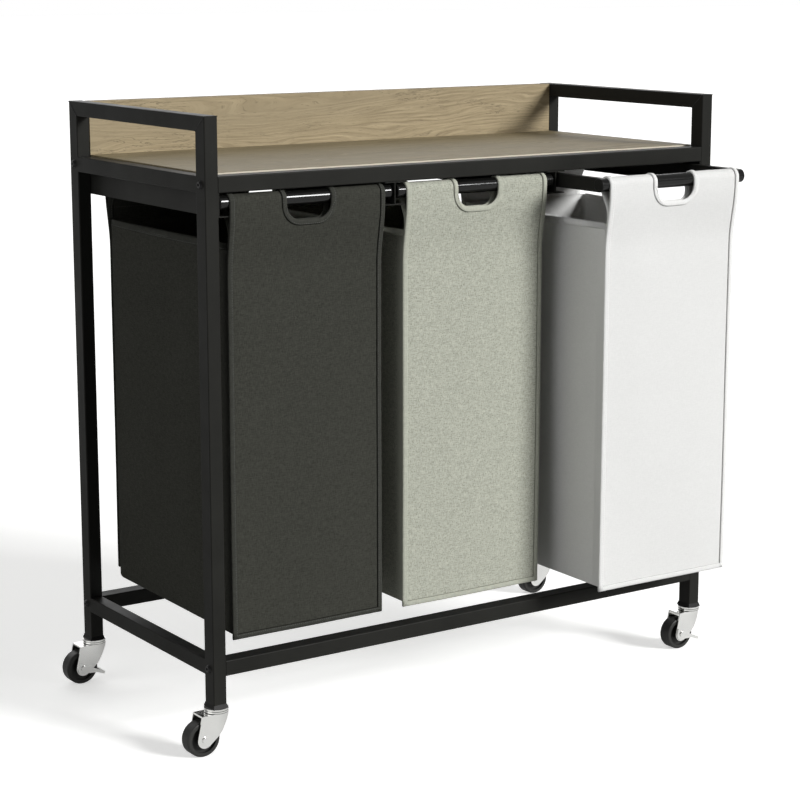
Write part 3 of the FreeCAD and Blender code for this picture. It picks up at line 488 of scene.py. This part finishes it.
def run_tree(name, lines, tree, values):
    """Grow a node tree on polylines and keep the result as a plain mesh object."""
    points, edges = [], []
    for line in lines:
        start = len(points)
        points += [tuple(p) for p in line]
        edges += [(start + k, start + k + 1) for k in range(len(line) - 1)]
    mesh = bpy.data.meshes.new(name + "_lines")
    mesh.from_pydata(points, edges, [])
    source = bpy.data.objects.new(name + "_lines", mesh)
    bpy.context.scene.collection.objects.link(source)
    grow = source.modifiers.new("grow", "NODES")
    grow.node_group = tree
    for item in tree.interface.items_tree:
        if item.in_out == "INPUT" and item.name in values:
            grow[item.identifier] = values[item.name]
    graph = bpy.context.evaluated_depsgraph_get()
    grown = bpy.data.meshes.new_from_object(source.evaluated_get(graph), depsgraph=graph)
    grown.name = name
    bpy.data.objects.remove(source)
    piece = bpy.data.objects.new(name, grown)
    bpy.context.scene.collection.objects.link(piece)
    return piece


print("line trees can be built and run")

# %% [markdown]
# ### Mitre seams
# Each side frame's tubes meet at 45 degrees in the top corners. A fine ground weld is left
# there as a bead, near black as painted shade of the seam's groove. A short straight line is
# drawn across each corner, and Geometry Nodes turn it into a bead whose thickness wobbles a little.

# %% The bead tree
def new_bead_tree():
    tree, given, spaced = begin_line_tree("weld bead along lines", {"Radius": 0.5 * MM, "Pitch": 1.6 * MM})
    wobble = add(tree, "FunctionNodeRandomValue", {2: 0.75, 3: 1.15, "Seed": 4},
                 data_type="FLOAT").outputs[1]
    swell = add(tree, "GeometryNodeSetCurveRadius", {"Curve": spaced, "Radius": wobble}).outputs[0]
    ring = add(tree, "GeometryNodeCurvePrimitiveCircle",
               {"Resolution": 8, "Radius": given["Radius"]}).outputs[0]
    tube = add(tree, "GeometryNodeCurveToMesh", {"Curve": swell, "Profile Curve": ring, "Fill Caps": True})
    if "Scale" in tube.inputs:
        tree.links.new(wobble, tube.inputs["Scale"])
    smooth = add(tree, "GeometryNodeSetShadeSmooth", {"Geometry": tube.outputs[0]}).outputs[0]
    real = add(tree, "GeometryNodeRealizeInstances", {0: smooth}).outputs[0]
    return end_line_tree(tree, given, real)


bead_tree = new_bead_tree()
print("bead tree:", len(bead_tree.nodes), "nodes")

# %% Beads on both faces of the four top corners
TUBE_DEEP = 25 * MM       # post, front to back
TUBE_HIGH = 21 * MM       # top rail, its height
BEAD_RADIUS = 0.65 * MM
BEAD_STEPS = 12


def mitre_lines(node):
    """The four slanting lines on a side frame: two corners, each on both faces."""
    low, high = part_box(node)
    lines = []
    for x in (low.x, high.x):
        for y, inward in ((low.y, 1), (high.y, -1)):
            start = Vector((x, y, high.z))
            end = Vector((x, y + inward * TUBE_DEEP, high.z - TUBE_HIGH))
            lines.append([start.lerp(end, 0.02 + 0.96 * k / BEAD_STEPS) for k in range(BEAD_STEPS + 1)])
    return lines


side_lines = mitre_lines("left_side_frame") + mitre_lines("right_side_frame")
beads = run_tree("mitre_seams", side_lines, bead_tree, {"Radius": BEAD_RADIUS, "Material": seam_shadow})
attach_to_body(beads, "frame")
print("mitre seams:", len(side_lines), "lines,", len(beads.data.polygons), "faces")


# %% [markdown]
# ## Sewing a bag
# A flap is one long strip: it starts at the hem, runs up the outside, wraps the bar and
# comes down behind it to a seam, so the sleeve hangs as a narrow V. Its rows follow that
# path and its columns follow the cloth's width. Columns inside the hand opening stop at
# the opening's edge, so the cut is part of the weave and needs no boolean.

# %% Measures of the cloth
SHEET = 1.2 * MM          # a flap's thickness
SLEEVE_SEAM = 44 * MM     # bar's axis down to the sleeve's seam
SLEEVE_TAIL = 15 * MM     # cloth below that seam, inside
FALL_FROM = 12 * MM       # bar's axis down to where the flap leaves the bar
FALL_TO = 96 * MM         # and to where it hangs in its plane
GRIP_WIDE = 72 * MM       # hand opening
GRIP_DROP = 29 * MM       # bar's axis down to the bottom of the hand opening
GRIP_ROUND = 22 * MM      # rounding of its lower corners
STITCH = 3.4 * MM         # stitch pitch
SLEEVE_AIR = 0.2 * MM     # bar to the sleeve round it
SEAM_GAP = SHEET * 1.3    # outer cloth to inner cloth at the sleeve's seam
PATH_STEPS = (96, 24, 12, 4)    # hem to bar, round the bar, down to the seam, tail


def flap_path(bar_z, bar_radius, hem_z, plane):
    """Points (outward, height) of a flap from its hem, over the bar, to its tail."""
    wrap = bar_radius + SHEET / 2 + SLEEVE_AIR
    rise, turn, fall, tail = PATH_STEPS

    def outer(z):
        t = (z - (bar_z - FALL_TO)) / (FALL_TO - FALL_FROM)
        return plane + (wrap - plane) * smooth_step(t)

    path = []
    for step in range(rise):
        z = hem_z + (bar_z - hem_z) * step / rise
        path.append((outer(z), z))
    for step in range(turn + 1):
        angle = math.pi * step / turn
        path.append((wrap * math.cos(angle), bar_z + wrap * math.sin(angle)))
    seam_out = outer(bar_z - SLEEVE_SEAM) - SEAM_GAP
    for step in range(1, fall + 1):
        t = step / fall
        path.append((-wrap + (seam_out + wrap) * smooth_step(t), bar_z - SLEEVE_SEAM * t))
    for step in range(1, tail + 1):
        z = bar_z - SLEEVE_SEAM - SLEEVE_TAIL * step / tail
        path.append((outer(z) - SEAM_GAP, z))
    return path


print("sleeve hangs", round((SLEEVE_SEAM + SLEEVE_TAIL) / MM), "mm below the bar's axis")


# %% Read a path by its length
class Route:
    """A polyline that can be read by its length."""
    def __init__(self, path):
        self.path = path
        self.at = [0.0]
        for (o0, z0), (o1, z1) in zip(path, path[1:]):
            self.at.append(self.at[-1] + math.hypot(o1 - o0, z1 - z0))
        self.length = self.at[-1]

    def point(self, s):
        for k in range(1, len(self.at)):
            if s <= self.at[k] or k == len(self.at) - 1:
                t = (s - self.at[k - 1]) / (self.at[k] - self.at[k - 1])
                (o0, z0), (o1, z1) = self.path[k - 1], self.path[k]
                return o0 + (o1 - o0) * t, z0 + (z1 - z0) * t

    def length_at_height(self, z, inner):
        """Length where the path crosses a height, on the way up or on the way down."""
        ks = range(1, len(self.at))
        for k in (reversed(ks) if inner else ks):
            z0, z1 = self.path[k - 1][1], self.path[k][1]
            if min(z0, z1) <= z <= max(z0, z1) and z0 != z1:
                return self.at[k - 1] + (self.at[k] - self.at[k - 1]) * (z - z0) / (z1 - z0)


def spread(stops, counts):
    """Rising values through the stops, with a count of steps between each two."""
    values = [stops[0]]
    for low, high, count in zip(stops, stops[1:], counts):
        values += [low + (high - low) * (step + 1) / count for step in range(count)]
    return values


print("spread example:", spread([0, 4], [4]))

# %% One flap as a grid
FRONT_PLANE = 0.8 * MM    # the front flap's plane, outside the bar's axis
BACK_PLANE = -0.6 * MM    # the back flap's
FLAP_BOW = 2.2 * MM       # how far a flap's middle stands out
FLAP_DRIFT = 1.8 * MM     # slow unevenness
FLAP_FOLD = 0.7 * MM      # upright folds under the sleeve


class Flap:
    """A flap's grid of points, with the places its trimmings follow."""
    ROWS = (58, 6, 24, 6, 3)

    def __init__(self, bay, bar_node, outward, grip, seed, side_inset=0.0, hem_lift=0.0):
        low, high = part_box(bay + "_bag")
        bar = middle(bar_node)
        bar_low, bar_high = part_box(bar_node)
        self.bar_z = bar.z
        self.outward = outward
        self.bar_y = bar.y
        self.x_mid = (low.x + high.x) / 2
        self.wide = high.x - low.x - 2 * side_inset
        self.hem_z = low.z + hem_lift
        self.seed = seed
        self.route = Route(flap_path(bar.z, (bar_high.z - bar_low.z) / 2, self.hem_z,
                                     FRONT_PLANE if grip else BACK_PLANE))
        self.grip = grip
        self.columns = self.column_places()
        self.make_grid()

    def column_places(self):
        """(x, height of the opening's edge or None) for each column."""
        half, reach, r = self.wide / 2, GRIP_WIDE / 2, GRIP_ROUND
        if not self.grip:
            return [(x, None) for x in spread([-half, half], [44])]
        foot = self.bar_z - GRIP_DROP
        side = [(x, None) for x in spread([-half, -reach], [16])]
        inside = []
        for step in range(1, 7):
            angle = math.pi / 2 * step / 6
            inside.append((-(reach - r) - r * math.cos(angle), foot + r - r * math.sin(angle)))
        flat = [(x, foot) for x in spread([-(reach - r), reach - r], [6])[1:-1]]
        mirror = [(-x, z) for x, z in reversed(inside)]
        return side + inside + flat + mirror + [(-x, None) for x, z in reversed(side)]

    def sag(self, x, z):
        """How far the cloth stands off its plane: a slow bow, soft folds under the sleeve, drift."""
        down = (self.bar_z - z) / (self.bar_z - self.hem_z)
        if down <= 0.02:
            return 0.0
        free = smooth_step((down - 0.02) / 0.15)
        bow = FLAP_BOW * math.cos(math.pi * x / self.wide) * math.sin(math.pi * min(down, 1.0))
        drift = noise.noise(Vector((x * 7, z * 3.2, self.seed)))
        fold = noise.noise(Vector((x * 26, z * 2.0, self.seed + 9)))
        return free * (bow + FLAP_DRIFT * drift + FLAP_FOLD * fold * math.exp(-3.0 * down))

    def place(self, x, s):
        out, z = self.route.point(s)
        out += self.sag(x, z) if s < self.split else self.sag(x, z) * 0.9
        return Vector((self.x_mid + x, self.bar_y + self.outward * out, z))

    def make_grid(self):
        route = self.route
        foot = self.bar_z - GRIP_DROP
        margin = foot - 10 * MM
        shoulder = foot + GRIP_ROUND
        self.split = route.length_at_height(self.bar_z, False)
        fixed = (0.0, route.length_at_height(margin, False), route.length_at_height(shoulder, False),
                 route.length_at_height(shoulder, True), route.length_at_height(margin, True), route.length)
        self.grid = []
        self.lengths = []
        for x, edge in self.columns:
            stops = list(fixed)
            if edge is not None:
                stops[2] = route.length_at_height(edge, False)
                stops[3] = route.length_at_height(edge, True)
            rows = spread(stops, self.ROWS)
            self.lengths.append(rows)
            self.grid.append([self.place(x, s) for s in rows])
        self.low_row = self.ROWS[0] + self.ROWS[1]
        self.high_row = self.low_row + self.ROWS[2]
        self.rows = len(self.grid[0])

    def is_open(self, column, row):
        """Whether the square right of and above this point lies in the hand opening."""
        if not self.grip or not self.low_row <= row < self.high_row:
            return False
        return self.columns[column][1] is not None or self.columns[column + 1][1] is not None

    def sheet(self, name):
        points, uvs, faces, used = [], [], [], {}

        def index(column, row):
            if (column, row) not in used:
                used[column, row] = len(points)
                points.append(self.grid[column][row])
                uvs.append((self.columns[column][0], self.lengths[column][row]))
            return used[column, row]

        for column in range(len(self.columns) - 1):
            for row in range(self.rows - 1):
                if self.is_open(column, row):
                    continue
                corners = [(column, row), (column + 1, row), (column + 1, row + 1), (column, row + 1)]
                if self.outward > 0:
                    corners.reverse()
                faces.append([index(*corner) for corner in corners])
        piece = mesh_piece(name, points, faces, uvs)
        wall = piece.modifiers.new("cloth wall", "SOLIDIFY")
        wall.thickness = SHEET
        wall.offset = 0.0
        return piece

    def edge(self, spots, inward_spots):
        """(point, inward) pairs along an edge, from grid places and their neighbours inside."""
        pairs = []
        for (c, r), (ci, ri) in zip(spots, inward_spots):
            pairs.append((self.grid[c][r], (self.grid[ci][ri] - self.grid[c][r]).normalized()))
        return pairs

    def side_edge(self, last):
        c = len(self.columns) - 1 if last else 0
        step = -1 if last else 1
        return self.edge([(c, r) for r in range(self.rows)], [(c + step, r) for r in range(self.rows)])

    def hem_edge(self):
        count = len(self.columns)
        return self.edge([(c, 0) for c in range(count)], [(c, 1) for c in range(count)])

    def bound_edges(self):
        """The three straight edges that a tape covers."""
        return self.side_edge(False), self.side_edge(True), self.hem_edge()

    def grip_edge(self):
        """The opening's closed edge, through both layers of the sleeve and over the bar."""
        inside = [c for c, (x, edge) in enumerate(self.columns) if edge is not None]
        first, last = inside[0] - 1, inside[-1] + 1
        low, high = self.low_row, self.high_row
        spots = [((c, low), (c, low - 1)) for c in range(first, last + 1)]
        spots += [((last, r), (last + 1, r)) for r in range(low + 1, high)]
        spots += [((c, high), (c, high + 1)) for c in range(last, first - 1, -1)]
        spots += [((first, r), (first - 1, r)) for r in range(high - 1, low, -1)]
        return self.edge([a for a, b in spots], [b for a, b in spots])


print("a flap has", sum(Flap.ROWS), "rows of squares")

# %% [markdown]
# ### Binding tape
# A folded tape hides the raw edges. It is swept along the edge: its section lies in the
# plane of two directions, into the cloth and out of its face, so it turns with the cloth
# round the bar. Beside the front flap's tape runs a thin strip of darker cloth: painted
# shade standing in for the shadow in the groove that the sewing pulls in.

# %% Sweep a tape along an edge
TAPE_SECTION = ((-1.1, 0.0), (-0.8, 1.0), (0.2, 1.8), (3.0, 2.2), (5.6, 2.25), (6.5, 2.0), (6.3, 0.7),
                (6.3, -0.7), (6.5, -2.0), (5.6, -2.25), (3.0, -2.2), (0.2, -1.8), (-0.8, -1.0))
TAPE_TOP = 2.26 * MM      # the tape's face above the middle of the cloth


def sweep(pairs, section, closed=False):
    """Points and faces of a closed section swept along (point, inward) pairs."""
    count = len(pairs)
    points, faces, uvs = [], [], []
    run = 0.0
    width = len(section)
    for k, (here, inward) in enumerate(pairs):
        before = pairs[(k - 1) % count if closed else max(k - 1, 0)][0]
        after = pairs[(k + 1) % count if closed else min(k + 1, count - 1)][0]
        along = (after - before).normalized()
        face = inward.cross(along).normalized()
        into = along.cross(face).normalized()
        if k:
            run += (here - pairs[k - 1][0]).length
        for step, (b, n) in enumerate(section):
            points.append(here + into * b * MM + face * n * MM)
            uvs.append((run, step * 1.1 * MM))
    for k in range(count if closed else count - 1):
        nxt = (k + 1) % count
        for step in range(width):
            other = (step + 1) % width
            faces.append([k * width + step, nxt * width + step, nxt * width + other, k * width + other])
    if not closed:
        faces.append(list(range(width)))
        faces.append([(count - 1) * width + step for step in reversed(range(width))])
    return points, faces, uvs


def join_sweeps(name, sweeps):
    """Several swept strips as one mesh object, their faces outwards."""
    points, faces, uvs = [], [], []
    for p, f, u in sweeps:
        start = len(points)
        points += p
        uvs += u
        faces += [[start + i for i in face] for face in f]
    piece = mesh_piece(name, points, faces, uvs)
    turn_outwards(piece.data)
    return piece


def turn_outwards(mesh):
    work = bmesh.new()
    work.from_mesh(mesh)
    bmesh.ops.recalc_face_normals(work, faces=work.faces)
    work.to_mesh(mesh)
    work.free()


def inset_line(pairs, inset, rise, closed=False):
    """A line that runs beside an edge, inset into the cloth and raised off its face."""
    line = []
    count = len(pairs)
    for k, (here, inward) in enumerate(pairs):
        before = pairs[(k - 1) % count if closed else max(k - 1, 0)][0]
        after = pairs[(k + 1) % count if closed else min(k + 1, count - 1)][0]
        face = inward.cross((after - before).normalized()).normalized()
        line.append(here + inward * inset + face * rise)
    if closed:
        line.append(line[0].copy())
    return line


print("tape section:", len(TAPE_SECTION), "points")

# %% [markdown]
# ### Stitches
# Stitches repeat by the thousand, so Geometry Nodes place them: lines become evenly
# spaced points, and each point carries one short, fat thread that lies along the line.

# %% The stitch tree
def new_stitch_tree():
    tree, given, spaced = begin_line_tree(
        "stitches along lines", {"Pitch": STITCH, "Long": 2.5 * MM, "Thick": 0.62 * MM})
    along = add(tree, "GeometryNodeInputTangent").outputs[0]
    turned = add(tree, "FunctionNodeAlignRotationToVector", {"Vector": along}, axis="Z").outputs[0]
    thread = add(tree, "GeometryNodeMeshUVSphere", {"Segments": 6, "Rings": 5, "Radius": 0.5}).outputs[0]
    size = add(tree, "ShaderNodeCombineXYZ",
               {0: given["Thick"], 1: given["Thick"], 2: given["Long"]}).outputs[0]
    placed = add(tree, "GeometryNodeInstanceOnPoints",
                 {"Points": spaced, "Instance": thread, "Rotation": turned, "Scale": size})
    real = add(tree, "GeometryNodeRealizeInstances", {0: placed.outputs[0]}).outputs[0]
    smooth = add(tree, "GeometryNodeSetShadeSmooth", {"Geometry": real}).outputs[0]
    return end_line_tree(tree, given, smooth)


stitch_tree = new_stitch_tree()
print("stitch tree:", len(stitch_tree.nodes), "nodes")

# %% [markdown]
# ### The body of a bag
# Between the flaps hangs a body with four walls and a floor. It is lofted: loops of points
# go down the walls and turn under, tighter at the front, where the wall meets the flap,
# and rounder at the back. The walls bow and ripple a little, because nothing holds them.

# %% One body as loops
WALL = 1.2 * MM
BODY_DROP = 56 * MM      # bar's axis to the body's top edge
BODY_INSET = 2.5 * MM    # body inside the flaps' side edges
BODY_GAP = 2.6 * MM      # bars' axes to the body's front and back walls
BODY_LIFT = 5 * MM       # flap's hem up to the body's floor
FRONT_CORNER = 2 * MM    # rounding of the front corners, seen from above
FRONT_TURN = 1.5 * MM    # rounding under the front wall
BACK_CORNER = 9 * MM     # both roundings at the back
WALL_BOW = 4.5 * MM      # how far a side wall's middle stands out
WALL_RIPPLE = 1.8 * MM
WALL_DRIFT = 2.5 * MM
TOP_DIP = 2.2 * MM       # sag of a side wall's top edge


class Body:
    """A bag's body as loops of points, from its top edge down and under."""
    ROWS = 46
    TURN_STEPS = 5

    def __init__(self, bay, front, back, seed):
        low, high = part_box(bay + "_bag")
        self.x0 = low.x + BODY_INSET
        self.x1 = high.x - BODY_INSET
        self.y0 = front.bar_y + BODY_GAP
        self.y1 = back.bar_y - BODY_GAP
        self.top = front.bar_z - BODY_DROP
        self.base = low.z + BODY_LIFT
        self.seed = seed
        self.plan = self.plan_points()

    def plan_points(self):
        """(x, y, outward normal, lower rounding, slack) round the body, anticlockwise from above."""
        plan = []
        corners = ((self.x0, self.y0, 180, FRONT_CORNER, FRONT_TURN),
                   (self.x1, self.y0, 270, FRONT_CORNER, FRONT_TURN),
                   (self.x1, self.y1, 0, BACK_CORNER, BACK_CORNER),
                   (self.x0, self.y1, 90, BACK_CORNER, BACK_CORNER))
        middle_x, middle_y = (self.x0 + self.x1) / 2, (self.y0 + self.y1) / 2
        arcs = []
        for x, y, start, r, fall in corners:
            cx = x + r * (1 if x < middle_x else -1)
            cy = y + r * (1 if y < middle_y else -1)
            arc = []
            for step in range(self.TURN_STEPS + 1):
                angle = math.radians(start + 90 * step / self.TURN_STEPS)
                way = Vector((math.cos(angle), math.sin(angle), 0))
                arc.append((Vector((cx, cy, 0)) + way * r, way, fall, 0.0))
            arcs.append(arc)
        for k, arc in enumerate(arcs):
            plan += arc
            start, end = arc[-1], arcs[(k + 1) % 4][0]
            steps = 26 if k % 2 else 18
            for step in range(1, steps):
                t = step / steps
                fall = start[2] + (end[2] - start[2]) * t
                slack = math.sin(math.pi * t) if k % 2 else 0.25 * math.sin(math.pi * t)
                plan.append((start[0].lerp(end[0], t), start[1], fall, slack))
        return plan

    def bulge(self, at, slack, z):
        """How far a wall stands off its plane at a height."""
        down = (self.top - z) / (self.top - self.base)
        bow = WALL_BOW * math.sin(math.pi * min(max(down, 0.0), 1.0) ** 0.8)
        ripple = noise.noise(Vector((at.x * 16, at.y * 16, z * 1.6 + self.seed)))
        drift = noise.noise(Vector((at.x * 5, at.y * 5, z * 4 + self.seed + 5)))
        return slack * (bow + WALL_RIPPLE * ripple + WALL_DRIFT * drift)

    def loop(self, z_share, turn):
        """One loop of points: z_share 0 at the top and 1 at the turn, then turn 0 to 1 under."""
        ring = []
        angle = math.pi / 2 * turn
        for at, way, fall, slack in self.plan:
            dip = TOP_DIP * slack * (1 - z_share) ** 3
            z = self.top - dip + (self.base + fall - self.top + dip) * z_share
            out = self.bulge(at, slack, z) * (1 - smooth_step((z_share - 0.8) / 0.2) * 0.85)
            z -= fall * math.sin(angle)
            out -= fall * (1 - math.cos(angle))
            point = at + way * out
            ring.append(Vector((point.x, point.y, z)))
        return ring

    def rings(self):
        rings = [self.loop(row / self.ROWS, 0.0) for row in range(self.ROWS + 1)]
        rings += [self.loop(1.0, step / self.TURN_STEPS) for step in range(1, self.TURN_STEPS + 1)]
        last = rings[-1]
        centre = sum(last, Vector()) / len(last)
        for share in (0.8, 0.55, 0.3, 0.1):
            rings.append([centre.lerp(p, share) for p in last])
        return rings

    def shell(self, name):
        rings = self.rings()
        size = len(self.plan)
        points = [p for ring in rings for p in ring]
        around, run = [], 0.0
        for k in range(size):
            around.append(run)
            run += (rings[0][(k + 1) % size] - rings[0][k]).length
        uvs, down = [], 0.0
        for number, ring in enumerate(rings):
            if number:
                down += (ring[0] - rings[number - 1][0]).length
            uvs += [(around[k], -down) for k in range(size)]
        faces = []
        for row in range(len(rings) - 1):
            above, below = row * size, (row + 1) * size
            for k in range(size):
                nxt = (k + 1) % size
                faces.append([above + k, below + k, below + nxt, above + nxt])
        faces.append([(len(rings) - 1) * size + k for k in reversed(range(size))])
        piece = mesh_piece(name, points, faces, uvs)
        wall = piece.modifiers.new("cloth wall", "SOLIDIFY")
        wall.thickness = WALL
        wall.offset = -1.0
        return piece, rings

    def top_edge(self, rings):
        """The two side walls' top edges, each with the direction down into the cloth."""
        groups = []
        for sign in (-1, 1):
            spots = [k for k, (at, way, fall, slack) in enumerate(self.plan) if way.x * sign > 0.95]
            groups.append([(rings[0][k] - self.plan[k][1] * WALL / 2,
                            (rings[2][k] - rings[0][k]).normalized()) for k in spots])
        return groups


print("a body has", Body.ROWS + Body.TURN_STEPS + 5, "loops")

# %% [markdown]
# ### Putting a bag together
# Two flaps, one body, tape round the edges that show, and the stitches beside each tape.
# The sleeve's tail is hidden between the layers, so it is left without tape.

# %% Hang the cloth on its bars
BACK_INSET = 5 * MM      # back flap's sides inside the front flap's
BACK_LIFT = 22 * MM      # back flap's hem above the front one's


def attach(piece, bay, material):
    """Give a sewn piece its material and let it ride with its slide-out frame."""
    piece.data.materials.append(material)
    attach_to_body(piece, bay + "_drawer")
    return piece


def hang_flap(flap, bay, side):
    piece = attach(flap.sheet("%s_bag_%s_flap" % (bay, side)), bay, bag_cloth[bay])
    return piece


def hang_body(body, bay):
    """The body: a floor with four walls round it, lofted as one shell."""
    shell, rings = body.shell(bay + "_bag_body")
    attach(shell, bay, bag_cloth[bay])
    return shell, rings


print("back flap:", round(2 * BACK_INSET / MM), "mm narrower, hem", round(BACK_LIFT / MM), "mm higher")


# %% Bind the edges and sew them
HEM_SECTION = tuple((b * 1.25, n * 0.42) for b, n in TAPE_SECTION)    # a wider, thinner tape
HEM_TOP = 0.43 * TAPE_TOP
# section of a thin strip beside the tape, which carries the groove's painted shade
GROOVE_SECTION = ((6.2, -0.74), (7.25, -0.74), (7.25, 0.74), (6.2, 0.74))
STITCH_INSET = 5.1 * MM        # cloth's edge to the stitches beside a tape
HEM_STITCH_INSET = 6.4 * MM    # and on the body's top edges
THREAD_RISE = 0.65 * MM        # sleeve's seam stitches off the middle of the cloth


def bind_edges(bay, front, back, tops):
    """Tape on the edges that show, and a strip of painted shade along the tape of the front flap."""
    tapes = [sweep(pairs, TAPE_SECTION) for pairs in front.bound_edges()]
    tapes += [sweep(pairs, HEM_SECTION) for pairs in back.bound_edges()]
    tapes.append(sweep(front.grip_edge(), TAPE_SECTION, True))
    tapes += [sweep(pairs, HEM_SECTION) for pairs in tops]
    # a strip of darker cloth beside the front flap's tapes: painted shade of the sewn groove
    groove_shade_strips = [sweep(pairs, GROOVE_SECTION) for pairs in front.bound_edges()]
    groove_shade_strips.append(sweep(front.grip_edge(), GROOVE_SECTION, True))
    return [attach(join_sweeps(bay + "_bag_binding", tapes), bay, tape_cloth[bay]),
            attach(join_sweeps(bay + "_bag_painted_groove_shade", groove_shade_strips), bay, groove_shade_cloth[bay])]


def stitch_lines(front, back, tops):
    """A line on both faces of every tape, and one on each sleeve's seam."""
    lines = []
    for flap, top in ((front, TAPE_TOP), (back, HEM_TOP)):
        for pairs in flap.bound_edges():
            lines += [inset_line(pairs, STITCH_INSET, rise)[1:-1] for rise in (top, -top)]
    lines += [inset_line(front.grip_edge(), STITCH_INSET, rise, True) for rise in (TAPE_TOP, -TAPE_TOP)]
    for pairs in tops:
        lines += [inset_line(pairs, HEM_STITCH_INSET, rise) for rise in (HEM_TOP, -HEM_TOP)]
    for flap in (front, back):
        seam_row = flap.rows - 1 - flap.ROWS[4]
        off = Vector((0, flap.outward * THREAD_RISE, 0))
        lines.append([column[seam_row] - off for column in flap.grid])
    return lines


print("tape's stitches", round(STITCH_INSET / MM, 1), "mm in from the edge")


# %% Sew the three bags
def sew_bag(bay, seed):
    front = Flap(bay, bay + "_slide_front_bar", -1, True, seed)
    back = Flap(bay, bay + "_slide_rear_bar", 1, False, seed + 31, BACK_INSET, BACK_LIFT)
    body = Body(bay, front, back, seed + 57)
    made = [hang_flap(front, bay, "front"), hang_flap(back, bay, "back")]
    shell, rings = hang_body(body, bay)
    tops = body.top_edge(rings)
    made.append(shell)
    made += bind_edges(bay, front, back, tops)
    stitches = run_tree(bay + "_bag_stitches", stitch_lines(front, back, tops), stitch_tree,
                        {"Material": bag_thread[bay]})
    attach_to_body(stitches, bay + "_drawer")
    made.append(stitches)
    for piece in made:
        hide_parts(bay + "_bag")
    print(bay, "bag:", len(made), "pieces,", len(stitches.data.polygons), "faces of thread")


for number, bay in enumerate(BAYS):
    sew_bag(bay, 11.0 + 7 * number)

# %% [markdown]
# ## Stage
# A plain pale floor, a broad soft key light from the front right, a weak fill from the
# left, a light behind for the views from the back, and a dim room. The floor shows bright
# but throws little light up, so the sorter's undersides and dark tubes stay dark.

# %% The floor
FLOOR_COLOUR = (0.86, 0.86, 0.85)
FLOOR_BOUNCE = (0.30, 0.30, 0.30)    # the floor as other surfaces are lit by it


def pale_floor():
    reach = 40.0
    corners = [(-reach, -reach, 0), (reach, -reach, 0), (reach, reach, 0), (-reach, reach, 0)]
    floor = mesh_piece("floor", corners, [[0, 1, 2, 3]])
    material = finish("pale floor", FLOOR_COLOUR, 0.9)
    tree = material.node_tree
    seen = add(tree, "ShaderNodeLightPath").outputs
    shader = tree.nodes["Principled BSDF"]
    shade = blend_colour(tree, seen["Is Diffuse Ray"], FLOOR_COLOUR, FLOOR_BOUNCE)
    tree.links.new(shade, shader.inputs["Base Color"])
    shader.inputs["Emission Color"].default_value = (1, 1, 0.99, 1)
    glow = maths(tree, "ADD", maths(tree, "MULTIPLY", seen["Is Camera Ray"], 0.5),
                 maths(tree, "MULTIPLY", seen["Is Glossy Ray"], 0.1))
    tree.links.new(glow, shader.inputs["Emission Strength"])
    floor.data.materials.append(material)
    return floor


print("stage:", pale_floor().name)


# %% The lights and the room
def soft_light(name, kind, energy, aim_from, aim_at, **settings):
    data = bpy.data.lights.new(name, kind)
    data.energy = energy
    for key, value in settings.items():
        setattr(data, key, value)
    lamp = bpy.data.objects.new(name, data)
    lamp.location = aim_from
    lamp.rotation_euler = (Vector(aim_at) - Vector(aim_from)).to_track_quat("-Z", "Y").to_euler()
    bpy.context.scene.collection.objects.link(lamp)


ROOM = 0.07      # brightness of the room for cloth and wood
SHINE = 0.28     # added for what the metal mirrors
world = bpy.data.worlds.new("dim room")
world.use_nodes = True
backdrop = world.node_tree.nodes["Background"]
backdrop.inputs["Color"].default_value = (1, 1, 1, 1)
seen = add(world.node_tree, "ShaderNodeLightPath").outputs
strength = ranged(world.node_tree, seen["Is Camera Ray"], 0.0, 1.0, ROOM, 1.0)
mirrored = maths(world.node_tree, "MULTIPLY", seen["Is Glossy Ray"], SHINE)
strength = maths(world.node_tree, "ADD", strength, mirrored)
world.node_tree.links.new(strength, backdrop.inputs["Strength"])
bpy.context.scene.world = world
bpy.context.scene.view_settings.view_transform = "Standard"
AIM = (0, 0, 0.1)
soft_light("key", "SUN", 3.9, (1.8, -3.2, 1.7), AIM, angle=math.radians(18))
soft_light("fill", "SUN", 0.85, (-3.0, -0.2, 1.2), AIM, angle=math.radians(60))
soft_light("back light", "SUN", 1.0, (1.0, 3.0, 1.9), AIM, angle=math.radians(60))
print("lights: key, fill and back light")

# %% The camera
camera_data = bpy.data.cameras.new("camera")
camera_data.lens = 97.6
camera_data.clip_end = 200
camera = bpy.data.objects.new("camera", camera_data)
camera.location = (-1.7992, -2.6295, 1.0627)
camera.rotation_euler = (math.radians(78.68), 0, math.radians(-34.16))
bpy.context.scene.collection.objects.link(camera)
bpy.context.scene.camera = camera
print("camera lens:", round(camera_data.lens, 1), "mm")

# %% Update the scene
bpy.context.view_layer.update()
